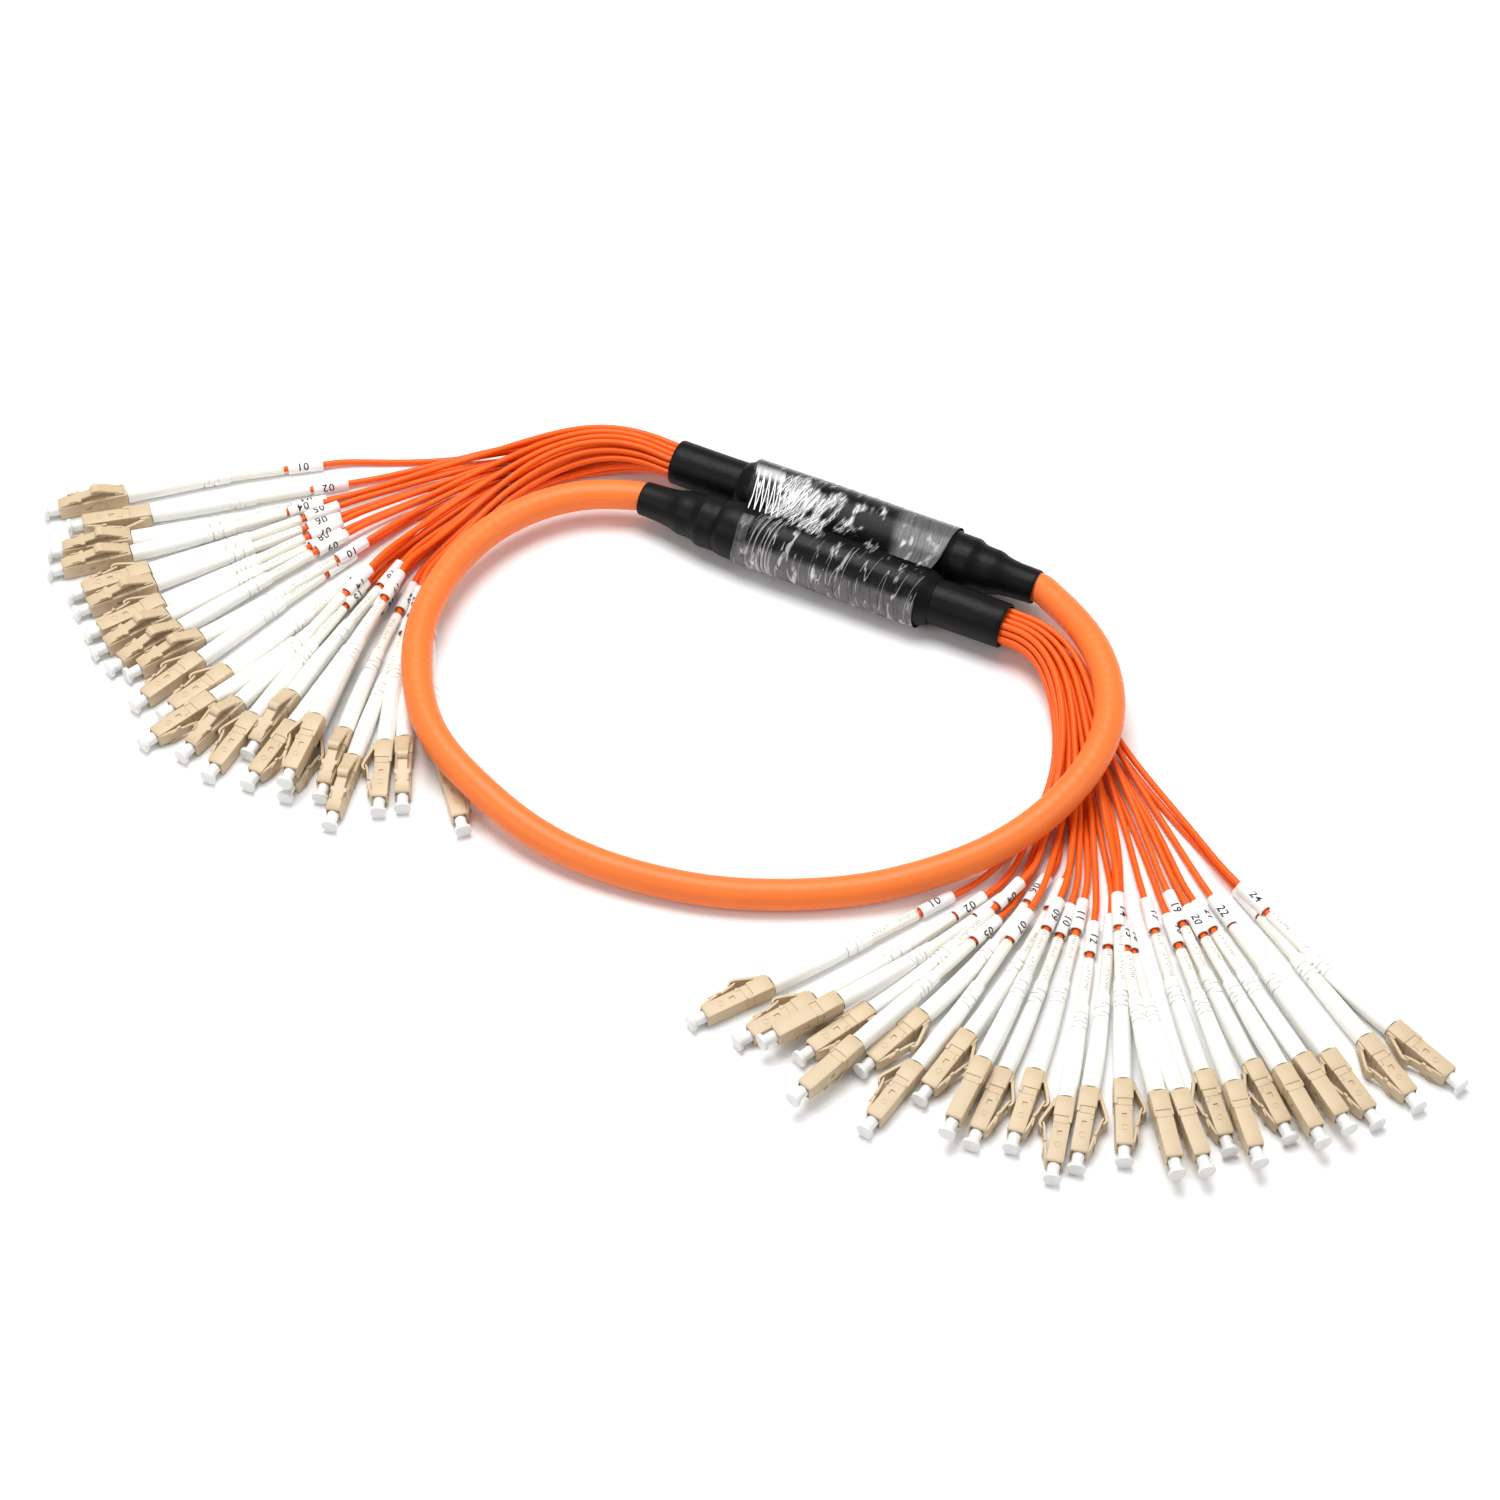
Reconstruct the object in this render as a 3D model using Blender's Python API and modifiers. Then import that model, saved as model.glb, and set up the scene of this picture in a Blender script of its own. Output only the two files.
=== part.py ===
"""Armoured 24 fibre patch cord with a breakout fan at each end, lying in a loose ring on a floor.

A thick jacketed trunk makes one open ring. Each end of it enters a black shrink sleeve, and out of
the other mouth of each sleeve come 24 thin leads. Each lead carries a number sleeve, a shrink tube, a
boot and a small latched connector with a dust cap. Clear film binds the two sleeves together.

Lengths are metres. The layout tables hold millimetres and degrees.
"""

import math

import bmesh
import bpy
import numpy as np
from mathutils import Matrix, Vector

MM = 0.001
OBJECT_NAME = "armoured_patch_cord"
CLEARANCE = 0.3 * MM

# Trunk
TRUNK_DIAMETER = 8.6 * MM
TRUNK_SPACING = 9.0 * MM
TRUNK_BORE_DEPTH = 9.0 * MM

# Leads, and what is shrunk on them
LEAD_DIAMETER = 1.8 * MM
LEAD_GAP = 0.16 * MM
LEAD_SPACING = 11.0 * MM
NECK_SPANS = 5
ROW_COUNTS = (4, 5, 6, 5, 4)
TUBE_DIAMETER = 3.1 * MM
TUBE_LENGTH = 27.5 * MM
BOOT_ROOT_DIAMETER = 5.0 * MM
BOOT_TIP_DIAMETER = 4.0 * MM
BOOT_LENGTH = 30.5 * MM

# Connector: its axis is X, the nose is at +X and the latch at +Z
FRONT_WIDTH = 4.52 * MM
FRONT_LENGTH = 13.8 * MM
REAR_WIDTH = 5.1 * MM
REAR_LENGTH = 6.2 * MM
LATCH_WIDTH = 2.8 * MM
LATCH_THICKNESS = 0.8 * MM
LATCH_ROOT = 18.4 * MM
LATCH_TIP = 9.6 * MM
LATCH_RISE = 2.0 * MM
TRIGGER_WIDTH = 3.4 * MM
TRIGGER_THICKNESS = 0.9 * MM
TRIGGER_ROOT = 0.9 * MM
TRIGGER_TIP = 9.0 * MM
TRIGGER_RISE = 3.3 * MM
CAP_BARREL_DIAMETER = 3.2 * MM
CAP_BARREL_LENGTH = 3.4 * MM
CAP_FLANGE_DIAMETER = 4.7 * MM
CAP_FLANGE_THICKNESS = 1.1 * MM
CAP_SIDES = 8

# Shrink sleeves: radius at each station along the sleeve, from the lead mouth to the trunk end
SLEEVE_WALL = 0.7 * MM
SLEEVE_BODY_DIAMETER = 17.2 * MM
SLEEVE_LENGTH = 115.0 * MM
MOUTH_DEPTH = 8.0 * MM
PLUG_LENGTH = 4.0 * MM
SLEEVE_STEPS = 20

# Clear film round both sleeves
FILM_THICKNESS = 0.3 * MM
FILM_GAP = 0.3 * MM
FILM_START = 30.5 * MM
FILM_LENGTH = 57.5 * MM

# Where the layout's own origin goes, so that the whole object is centred and rests at zero
LAYOUT_SHIFT = (11.63 * MM, 14.5 * MM, -0.085 * MM)

# Layout on the floor, millimetres and degrees
SLEEVE_A_MOUTH = (-21.4, 103.2)
SLEEVE_A_HEADING = 154.0
SLEEVE_B_MOUTH = (72.4, 37.9)
SLEEVE_B_HEADING = -26.0
SLEEVE_AXIS_HEIGHT = 9.3

# Every bundle spreads at a neck: place, heading and sweep of its first and last lead there
NECK_A = ((-74.5, 113.0, 186, 0.36), (-71.5, 91.0, 230, 0.36))
NECK_B = ((82.0, -16.0, 252, 0.24), (103.0, -2.0, 302, 0.52))

# Connectors in fan order: nose x, nose y, heading, roll, height of the axis
FAN_A = (
    (-203, 90, 197, 0, 2.7),
    (-195.2, 83.8, 192, 90, 2.7),
    (-199.8, 73.2, 194, 0, 2.7),
    (-199, 66, 198, 0, 2.7),
    (-192, 57, 204, -90, 2.7),
    (-189.5, 50.9, 208, 0, 2.7),
    (-185.5, 42.2, 212, -90, 2.7),
    (-182.9, 35.9, 216, 0, 2.7),
    (-178, 30, 220, 0, 2.7),
    (-172.4, 27.6, 216, 0, 2.7),
    (-169.7, 16.5, 226, -90, 2.7),
    (-161.6, 12.6, 224, -90, 2.7),
    (-165.5, 2.4, 223, 90, 2.7),
    (-155, -1.4, 234, 0, 2.7),
    (-147.5, -8.5, 243, -90, 2.7),
    (-137.3, -0.3, 244, 0, 2.7),
    (-136.4, -11.4, 243, 90, 2.7),
    (-126.4, -15.4, 255, 90, 2.7),
    (-125.8, -15, 253, -90, 8.5),
    (-117, -15.5, 258, 0, 2.7),
    (-113.7, -25.3, 258, 0, 2.7),
    (-101.5, -20.4, 269, -90, 2.7),
    (-95.2, -19, 272, 0, 2.7),
    (-79, -27, 285, 90, 2.7),
)
FAN_B = (
    (-12, -93, 210, -90, 2.7),
    (0, -99, 213, -90, 2.7),
    (6.4, -101.6, 213, 180, 6.35),
    (15.8, -103.8, 219, 90, 2.7),
    (13.7, -118.7, 226, 180, 6.35),
    (31.2, -107.3, 226, 90, 2.7),
    (31.4, -125.4, 235, -90, 2.7),
    (45.6, -115.8, 236, 90, 2.7),
    (51.4, -128.2, 245, 180, 6.35),
    (57.6, -129.2, 247, 90, 2.7),
    (67.3, -130.1, 252, 90, 2.7),
    (76.7, -139.2, 258, -90, 2.7),
    (83, -136.2, 258, 90, 2.7),
    (94.7, -134, 267, 90, 2.7),
    (106.6, -140, 278, 180, 6.35),
    (113.7, -139.3, 283, 180, 6.35),
    (120.6, -130.9, 282, -90, 2.7),
    (127.3, -136.8, 282, 180, 6.35),
    (135.7, -127.2, 289, -90, 2.7),
    (143.2, -130.9, 291, 180, 6.35),
    (150, -127, 295, 180, 6.35),
    (158, -123, 297, -90, 2.7),
    (169, -118, 299, -90, 2.7),
    (180, -112, 311, -90, 2.7),
)

# Trunk route from sleeve B's trunk end round to sleeve A's: x, y, axis height
TRUNK_ROUTE = (
    (-46, 90.5, 9.3),
    (-59, 87, 9.3),
    (-72, 79, 9.3),
    (-83, 66, 9.6),
    (-91, 48, 10.0),
    (-94, 32, 10.3),
    (-93, 17, 10.4),
    (-90, 2, 10.4),
    (-83, -11, 10.3),
    (-72, -23, 8.9),
    (-60, -34, 6.9),
    (-40, -45, 5.2),
    (-13, -53, 4.6),
    (8, -54.5, 4.6),
    (27, -53.5, 4.8),
    (40, -51, 5.6),
    (54, -47, 7.2),
    (67, -42, 9.2),
    (81, -32, 11.8),
    (91, -20, 13.2),
    (98, -7, 14.0),
    (100, 9, 14.0),
    (98, 23.5, 13.8),
    (94.6, 33, 12.5),
    (88.6, 44.6, 10.3),
)


def unit(degrees):
    angle = math.radians(degrees)
    return np.array([math.cos(angle), math.sin(angle)])


def connector_length():
    return FRONT_LENGTH + REAR_LENGTH


def slots():
    """Places of the leads in a sleeve's mouth, across and up, in order across the bundle."""
    pitch = LEAD_DIAMETER + LEAD_GAP
    rise = pitch * math.sqrt(3) / 2
    middle = (len(ROW_COUNTS) - 1) / 2
    places = []
    for row, count in enumerate(ROW_COUNTS):
        for k in range(count):
            places.append(((k - (count - 1) / 2) * pitch, (row - middle) * rise, row))
    return sorted(places, key=lambda place: (round(place[0], 7), place[2]))


def mouth_bore_radius():
    """Radius that takes the whole hexagonal bundle."""
    reach = max(math.hypot(across, up) for across, up, _ in slots())
    return reach + LEAD_DIAMETER / 2 + LEAD_GAP


def bezier(start, start_heading, start_pull, end, end_heading, end_pull, count=60):
    """Plan points of a curve that leaves start and reaches end along the given headings."""
    a, d = np.array(start), np.array(end)
    b = a + unit(start_heading) * start_pull
    c = d - unit(end_heading) * end_pull
    t = np.linspace(0.0, 1.0, count)[:, None]
    return (1 - t) ** 3 * a + 3 * (1 - t) ** 2 * t * b + 3 * (1 - t) * t**2 * c + t**3 * d


def resample(points, spacing):
    """The same curve with evenly spaced points, and the distance of each along it."""
    points = np.asarray(points)
    steps = np.linalg.norm(np.diff(points, axis=0), axis=1)
    along = np.concatenate([[0.0], np.cumsum(steps)])
    count = max(2, int(math.ceil(along[-1] / spacing)) + 1)
    distance = np.linspace(0.0, along[-1], count)
    columns = [np.interp(distance, along, points[:, k]) for k in range(points.shape[1])]
    return np.stack(columns, axis=1), distance


def smooth_route(points, steps=14):
    """Points on a Catmull Rom curve through a route's own points."""
    p = np.asarray(points, float)
    p = np.vstack([2 * p[0] - p[1], p, 2 * p[-1] - p[-2]])
    out = []
    for k in range(1, len(p) - 2):
        for t in np.linspace(0.0, 1.0, steps, endpoint=False):
            a = 2 * p[k]
            b = p[k + 1] - p[k - 1]
            c = 2 * p[k - 1] - 5 * p[k] + 4 * p[k + 1] - p[k + 2]
            d = 3 * p[k] - p[k - 1] - 3 * p[k + 1] + p[k + 2]
            out.append((a + b * t + c * t**2 + d * t**3) / 2)
    out.append(p[-2])
    return np.array(out)


FINE = 1.5 * MM
SETTLE = 34.0 * MM
EASE = 9.0 * MM
STRAIGHT = 6.0 * MM
LOOSE = 0.25 * MM
FLOOR_GAP = 0.3 * MM
STEEPEST = 0.4


def ease(x):
    x = np.clip(x, 0.0, 1.0)
    return x * x * (3 - 2 * x)


def relaxed(points, rounds, held):
    """The same line evened out, as a stiff cable lies, with its first and last points held."""
    points = np.array(points)
    for _ in range(rounds):
        middle = (points[:-2] + points[2:]) / 2
        points[1:-1][held:-held] += 0.5 * (middle - points[1:-1])[held:-held]
    return points


class Lead:
    """One lead from its slot in the mouth to the back of its connector."""

    def __init__(self, slot, row, mouth, mouth_heading, neck, seat):
        across, up, self.row = slot[0], slot[1], row
        heading = unit(mouth_heading)
        right = np.array([heading[1], -heading[0]])
        self.slot_height = SLEEVE_AXIS_HEIGHT * MM + up
        start = np.array(mouth) * MM - heading * (MOUTH_DEPTH - PLUG_LENGTH / 2) + right * across
        nose = np.array(seat[:2]) * MM
        self.heading, self.roll, self.tail_height = seat[2], seat[3], seat[4] * MM
        self.tail = nose - unit(self.heading) * connector_length()
        end = self.tail - unit(self.heading) * CLEARANCE
        back = end - unit(self.heading) * STRAIGHT
        neck_place, neck_heading = np.array(neck[:2]) * MM, neck[2]
        inside = MOUTH_DEPTH + 2 * MM
        out = start + heading * inside
        reach = np.linalg.norm(neck_place - out)
        pull = neck[3] * reach
        first = bezier(out, mouth_heading, pull, neck_place, neck_heading, 0.36 * reach)
        reach = np.linalg.norm(back - neck_place)
        second = bezier(neck_place, neck_heading, 0.3 * reach, back, self.heading, 0.45 * reach)
        plan = np.vstack([start[None], first, second[1:], end[None]])
        self.plan, self.along = resample(plan, FINE)
        self.curve_at = inside
        self.neck_at = inside + np.linalg.norm(np.diff(first, axis=0), axis=1).sum()
        self.length = self.along[-1]
        self.radius = self.radii(self.along)
        self.height = None

    def radii(self, along):
        left = self.length - along
        boot = np.interp(
            left, (0.0, BOOT_LENGTH), (BOOT_ROOT_DIAMETER / 2, BOOT_TIP_DIAMETER / 2)
        )
        out = np.full_like(along, LEAD_DIAMETER / 2)
        out[left <= BOOT_LENGTH + TUBE_LENGTH] = TUBE_DIAMETER / 2
        return np.where(left <= BOOT_LENGTH, boot, out)

    def settle(self, laid):
        """Lowest smooth height over the floor and over what already lies there."""
        lowest = self.radius + FLOOR_GAP
        if len(laid):
            slack = LEAD_GAP + LOOSE * ease((self.along - self.curve_at) / (2 * EASE))
            reach = (self.radius + slack)[:, None] + laid[None, :, 3]
            gap = np.hypot(
                self.plan[:, None, 0] - laid[None, :, 0], self.plan[:, None, 1] - laid[None, :, 1]
            )
            over = np.where(
                gap < reach, laid[None, :, 2] + np.sqrt(np.maximum(reach**2 - gap**2, 0)), 0
            )
            lowest = np.maximum(lowest, over.max(axis=1))
        guide = self.slot_height * (1 - ease(self.along / SETTLE))
        lowest = np.maximum(lowest, guide)
        window = int(round(4 * MM / FINE))
        padded = np.pad(lowest, window, mode="edge")
        raised = np.max([padded[k : k + len(lowest)] for k in range(2 * window + 1)], axis=0)
        step = STEEPEST * FINE
        for k in range(1, len(raised)):
            raised[k] = max(raised[k], raised[k - 1] - step)
        for k in range(len(raised) - 2, -1, -1):
            raised[k] = max(raised[k], raised[k + 1] - step)
        padded = np.pad(raised, window, mode="edge")
        even = np.mean([padded[k : k + len(lowest)] for k in range(2 * window + 1)], axis=0)
        from_start = ease((self.along - MOUTH_DEPTH) / EASE)
        from_end = ease((self.length - STRAIGHT - self.along) / (1.6 * EASE))
        height = self.slot_height + (even - self.slot_height) * from_start
        self.height = self.tail_height + (height - self.tail_height) * from_end

    def samples(self):
        return np.column_stack([self.plan, self.height, self.radius])

    def tube_points(self):
        """Stations for the lead's solid: places and radii, with a step where the sheath changes."""
        boot_at = self.length - BOOT_LENGTH
        tube_at = boot_at - TUBE_LENGTH
        edge = 0.1 * MM
        free = tube_at - edge - self.neck_at
        count = max(1, int(math.ceil(free / LEAD_SPACING)))
        places = [0.0]
        places += list(np.linspace(self.curve_at, self.neck_at, NECK_SPANS, endpoint=False))
        places += list(np.linspace(self.neck_at, tube_at - edge, count + 1))
        stations = [(s, LEAD_DIAMETER / 2) for s in places]
        stations += [(tube_at, TUBE_DIAMETER / 2), (tube_at + TUBE_LENGTH / 2, TUBE_DIAMETER / 2)]
        stations += [(boot_at - edge, TUBE_DIAMETER / 2), (boot_at, BOOT_TIP_DIAMETER / 2)]
        half = (BOOT_TIP_DIAMETER + BOOT_ROOT_DIAMETER) / 4
        stations += [(boot_at + BOOT_LENGTH / 2, half)]
        stations += [(self.length - STRAIGHT, BOOT_ROOT_DIAMETER / 2)]
        stations += [(self.length, BOOT_ROOT_DIAMETER / 2)]
        fine = np.column_stack([self.plan, self.height])
        places = [[np.interp(s, self.along, fine[:, k]) for k in range(3)] for s, _ in stations]
        return np.array(places), [radius for _, radius in stations]


def connector_matrix(seat):
    """Local X to the heading, rolled about it, with the origin at the back of the housing."""
    tail = np.array(seat[:2]) * MM - unit(seat[2]) * connector_length()
    place = Matrix.Translation((tail[0], tail[1], seat[4] * MM))
    turn = Matrix.Rotation(math.radians(seat[2]), 4, "Z")
    roll = Matrix.Rotation(math.radians(-seat[3]), 4, "X")
    return place @ turn @ roll


def connector_samples(seat):
    """Round samples of a connector, for the leads that pass over or beside it."""
    matrix = connector_matrix(seat)
    local = [(x * MM, 0, 0, REAR_WIDTH / 2) for x in np.arange(0, 20.1, 1.5)]
    top = REAR_WIDTH / 2
    local += [(x * MM, 0, top + 1.6 * MM, 1.6 * MM) for x in (3.0, 5.0, 7.0, 9.0, 11.0, 13.0)]
    local += [(x * MM, 0, top + 2.4 * MM, 1.2 * MM) for x in (6.5, 8.5, 10.0)]
    out = []
    for x, y, z, radius in local:
        place = matrix @ Vector((x, y, z))
        out.append((place.x, place.y, place.z, radius))
    return out


def lay_fan(mouth, mouth_heading, necks, seats, first_is_right):
    """The 24 leads of one fan, each settled over those laid before it."""
    places = slots()
    leads = []
    for k, seat in enumerate(seats):
        share = k / (len(seats) - 1)
        neck = [necks[0][j] * (1 - share) + necks[1][j] * share for j in range(4)]
        place = places[-1 - k] if first_is_right else places[k]
        leads.append(Lead(place, place[2], mouth, mouth_heading, neck, seat))
    fixed = [connector_samples(seat) for seat in seats]
    laid = np.zeros((0, 4))
    for k in sorted(range(len(leads)), key=lambda n: leads[n].row):
        others = [sample for n, own in enumerate(fixed) if n != k for sample in own]
        leads[k].settle(np.vstack([laid, np.array(others)]))
        laid = np.vstack([laid, leads[k].samples()])
    return leads


def sleeve_profile():
    """Station and radius along a sleeve, from the lead mouth to the trunk end."""
    mouth = mouth_bore_radius() + SLEEVE_WALL
    body = SLEEVE_BODY_DIAMETER / 2
    end = TRUNK_DIAMETER / 2 + CLEARANCE + SLEEVE_WALL
    length = SLEEVE_LENGTH
    return (
        (0.0, mouth),
        (0.17 * length, mouth + 0.2 * MM),
        (0.21 * length, body - 0.7 * MM),
        (0.24 * length, body),
        (0.70 * length, body),
        (0.73 * length, body - 1.0 * MM),
        (0.76 * length, mouth + 0.9 * MM),
        (0.81 * length, mouth + 0.7 * MM),
        (0.83 * length, mouth - 0.3 * MM),
        (0.86 * length, end + 0.9 * MM),
        (0.89 * length, end + 0.4 * MM),
        (length, end),
    )


def clear_scene():
    for old in list(bpy.data.objects):
        bpy.data.objects.remove(old, do_unlink=True)


def material(name, colour, roughness, metallic=0.0):
    made = bpy.data.materials.new(name)
    made.use_nodes = True
    shader = made.node_tree.nodes["Principled BSDF"]
    shader.inputs["Base Color"].default_value = (*colour, 1.0)
    shader.inputs["Roughness"].default_value = roughness
    shader.inputs["Metallic"].default_value = metallic
    return made


def mesh_object(name, form, collection, finish=None):
    mesh = bpy.data.meshes.new(name)
    form.to_mesh(mesh)
    form.free()
    made = bpy.data.objects.new(name, mesh)
    collection.objects.link(made)
    if finish:
        mesh.materials.append(finish)
    return made


def hide_tool(obj):
    obj.hide_render = True
    obj.display_type = "WIRE"
    return obj


def as_mesh(obj, name, collection):
    """A welded mesh copy of an evaluated object, which is then removed."""
    bpy.context.view_layer.update()
    graph = bpy.context.evaluated_depsgraph_get()
    mesh = bpy.data.meshes.new_from_object(obj.evaluated_get(graph))
    form = bmesh.new()
    form.from_mesh(mesh)
    bmesh.ops.remove_doubles(form, verts=form.verts, dist=0.0001 * MM)
    bmesh.ops.recalc_face_normals(form, faces=form.faces)
    made = mesh_object(name, form, collection)
    made.matrix_world = obj.matrix_world.copy()
    bpy.data.objects.remove(obj, do_unlink=True)
    return made


def tube(name, points, radii, resolution, collection):
    """A round tube along the points, with flat ends."""
    curve = bpy.data.curves.new(name, "CURVE")
    curve.dimensions = "3D"
    curve.bevel_depth = 1.0
    curve.bevel_resolution = resolution
    curve.use_fill_caps = True
    spline = curve.splines.new("POLY")
    spline.points.add(len(points) - 1)
    for knot, place, radius in zip(spline.points, points, radii):
        knot.co = (*place, 1.0)
        knot.radius = radius
    made = bpy.data.objects.new(name, curve)
    collection.objects.link(made)
    return made


def sloped_plate(form, start, end, width, thickness):
    """A flat bar from start to end, both as (x, z) of its middle plane."""
    run = Vector((end[0] - start[0], 0, end[1] - start[1]))
    middle = Vector(((start[0] + end[0]) / 2, 0, (start[1] + end[1]) / 2))
    turn = Matrix.Rotation(-math.atan2(run.z, run.x), 4, "Y")
    size = Matrix.Diagonal((run.length, width, thickness, 1.0))
    bmesh.ops.create_cube(form, size=1.0, matrix=Matrix.Translation(middle) @ turn @ size)


def connector_piece(name, shape, collection):
    form = bmesh.new()
    shape(form)
    return mesh_object(name, form, collection)


def connector_mesh(collection, finish):
    """Housing, latch, trigger and dust cap as one closed mesh, which all connectors share."""
    length = connector_length()
    top = FRONT_WIDTH / 2
    lap = 0.4 * MM

    def rear(form):
        size = Matrix.Diagonal((REAR_LENGTH, REAR_WIDTH, REAR_WIDTH, 1.0))
        bmesh.ops.create_cube(form, size=1.0, matrix=Matrix.Translation((REAR_LENGTH / 2, 0, 0)) @ size)

    def front(form):
        run = FRONT_LENGTH + lap
        size = Matrix.Diagonal((run, FRONT_WIDTH, FRONT_WIDTH, 1.0))
        bmesh.ops.create_cube(form, size=1.0, matrix=Matrix.Translation((length - run / 2, 0, 0)) @ size)

    def latch(form):
        root = (LATCH_ROOT, top - LATCH_THICKNESS * 0.3)
        tip = (LATCH_TIP, top + LATCH_RISE)
        sloped_plate(form, root, tip, LATCH_WIDTH, LATCH_THICKNESS)

    def trigger(form):
        root = (TRIGGER_ROOT, REAR_WIDTH / 2 - TRIGGER_THICKNESS * 0.1)
        tip = (TRIGGER_TIP, REAR_WIDTH / 2 + TRIGGER_RISE)
        sloped_plate(form, root, tip, TRIGGER_WIDTH, TRIGGER_THICKNESS)

    def barrel(form):
        run = CAP_BARREL_LENGTH + 2 * lap
        turn = Matrix.Rotation(math.radians(90), 4, "Y")
        place = Matrix.Translation((length + CAP_BARREL_LENGTH / 2, 0, 0))
        radius = CAP_BARREL_DIAMETER / 2
        bmesh.ops.create_cone(
            form, cap_ends=True, segments=CAP_SIDES, radius1=radius, radius2=radius,
            depth=run, matrix=place @ turn,
        )

    def flange(form):
        turn = Matrix.Rotation(math.radians(90), 4, "Y")
        middle = length + CAP_BARREL_LENGTH + CAP_FLANGE_THICKNESS / 2
        radius = CAP_FLANGE_DIAMETER / 2
        bmesh.ops.create_cone(
            form, cap_ends=True, segments=CAP_SIDES, radius1=radius, radius2=radius,
            depth=CAP_FLANGE_THICKNESS, matrix=Matrix.Translation((middle, 0, 0)) @ turn,
        )

    base = connector_piece("connector_base", rear, collection)
    tools = []
    for label, shape in (("front", front), ("latch", latch), ("trigger", trigger),
                         ("barrel", barrel), ("flange", flange)):
        tool = hide_tool(connector_piece("connector_" + label, shape, collection))
        join = base.modifiers.new(label, "BOOLEAN")
        join.operation = "UNION"
        join.solver = "EXACT"
        join.object = tool
        tools.append(tool)
    whole = as_mesh(base, "connector_whole", collection)
    mesh = whole.data
    mesh.materials.append(finish)
    for spare in (*tools, whole):
        bpy.data.objects.remove(spare, do_unlink=True)
    return mesh


def add_connectors(collection, tools, fans):
    finish = material("connector_plastic", (0.72, 0.58, 0.40), 0.45)
    mesh = connector_mesh(tools, finish)
    for side, seats in fans:
        for number, seat in enumerate(seats, start=1):
            made = bpy.data.objects.new(f"connector_{side}_{number:02d}", mesh)
            collection.objects.link(made)
            made.matrix_world = connector_matrix(seat)


def add_harness(name, collection, cutters, leads, mouth, mouth_heading, finish):
    """The leads of one fan, joined by the potting plug that holds them in the sleeve."""
    turn = Matrix.Rotation(math.radians(mouth_heading), 4, "Z") @ Matrix.Rotation(
        math.radians(90), 4, "Y"
    )
    middle = np.array(mouth) * MM - unit(mouth_heading) * (MOUTH_DEPTH - PLUG_LENGTH / 2 - CLEARANCE)
    place = Matrix.Translation((middle[0], middle[1], SLEEVE_AXIS_HEIGHT * MM))
    radius = mouth_bore_radius() - CLEARANCE
    form = bmesh.new()
    bmesh.ops.create_cone(
        form, cap_ends=True, segments=SLEEVE_STEPS, radius1=radius, radius2=radius,
        depth=PLUG_LENGTH, matrix=place @ turn,
    )
    plug = mesh_object(name, form, collection, finish)
    group = bpy.data.collections.new(name + "_tubes")
    cutters.children.link(group)
    for number, lead in enumerate(leads, start=1):
        points, radii = lead.tube_points()
        line = tube(f"{name}_{number:02d}", points, radii, 2, group)
        hide_tool(as_mesh(line, f"{name}_{number:02d}_solid", group))
    join = plug.modifiers.new("leads", "BOOLEAN")
    join.operation = "UNION"
    join.solver = "EXACT"
    join.operand_type = "COLLECTION"
    join.collection = group
    return plug


def add_sleeve(name, collection, mouth, mouth_heading, finish):
    """A turned sleeve: recessed lead mouth, stepped outside and a bore for the trunk."""
    bore = mouth_bore_radius()
    trunk_bore = TRUNK_DIAMETER / 2 + CLEARANCE
    outside = sleeve_profile()
    profile = [(MOUTH_DEPTH, 0.0), (MOUTH_DEPTH, bore), (0.0, bore)]
    profile += list(outside)
    profile += [(SLEEVE_LENGTH, trunk_bore), (SLEEVE_LENGTH - TRUNK_BORE_DEPTH, trunk_bore)]
    profile += [(SLEEVE_LENGTH - TRUNK_BORE_DEPTH, 0.0)]
    form = bmesh.new()
    knots = [form.verts.new((radius, 0.0, -station)) for station, radius in profile]
    for a, b in zip(knots, knots[1:]):
        form.edges.new((a, b))
    made = mesh_object(name, form, collection, finish)
    turned = made.modifiers.new("turn", "SCREW")
    turned.axis = "Z"
    turned.angle = math.radians(360)
    turned.steps = SLEEVE_STEPS
    turned.render_steps = SLEEVE_STEPS
    turned.use_merge_vertices = True
    turned.merge_threshold = 0.00001
    turn = Matrix.Rotation(math.radians(mouth_heading), 4, "Z") @ Matrix.Rotation(
        math.radians(90), 4, "Y"
    )
    place = Matrix.Translation((mouth[0] * MM, mouth[1] * MM, SLEEVE_AXIS_HEIGHT * MM))
    made.matrix_world = place @ turn
    return made


def sleeve_end(mouth, mouth_heading, inset):
    """A point on a sleeve's axis, inset from its trunk end."""
    return np.array(mouth) * MM - unit(mouth_heading) * (SLEEVE_LENGTH - inset)


def add_trunk(collection, finish):
    height = SLEEVE_AXIS_HEIGHT * MM
    inset = TRUNK_BORE_DEPTH - CLEARANCE
    ends = []
    for mouth, heading in ((SLEEVE_B_MOUTH, SLEEVE_B_HEADING), (SLEEVE_A_MOUTH, SLEEVE_A_HEADING)):
        inner = sleeve_end(mouth, heading, inset)
        outer = sleeve_end(mouth, heading, -2.0 * MM)
        ends.append([(*inner, height), (*outer, height)])
    middle = [tuple(value * MM for value in knot) for knot in TRUNK_ROUTE]
    route = ends[0] + middle + ends[1][::-1]
    fine, _ = resample(smooth_route(route), FINE)
    points, _ = resample(relaxed(fine, 60, 7), TRUNK_SPACING)
    radii = [TRUNK_DIAMETER / 2] * len(points)
    line = tube("trunk_line", points, radii, 4, collection)
    made = as_mesh(line, "trunk_cable", collection)
    made.data.materials.append(finish)
    return made


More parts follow.
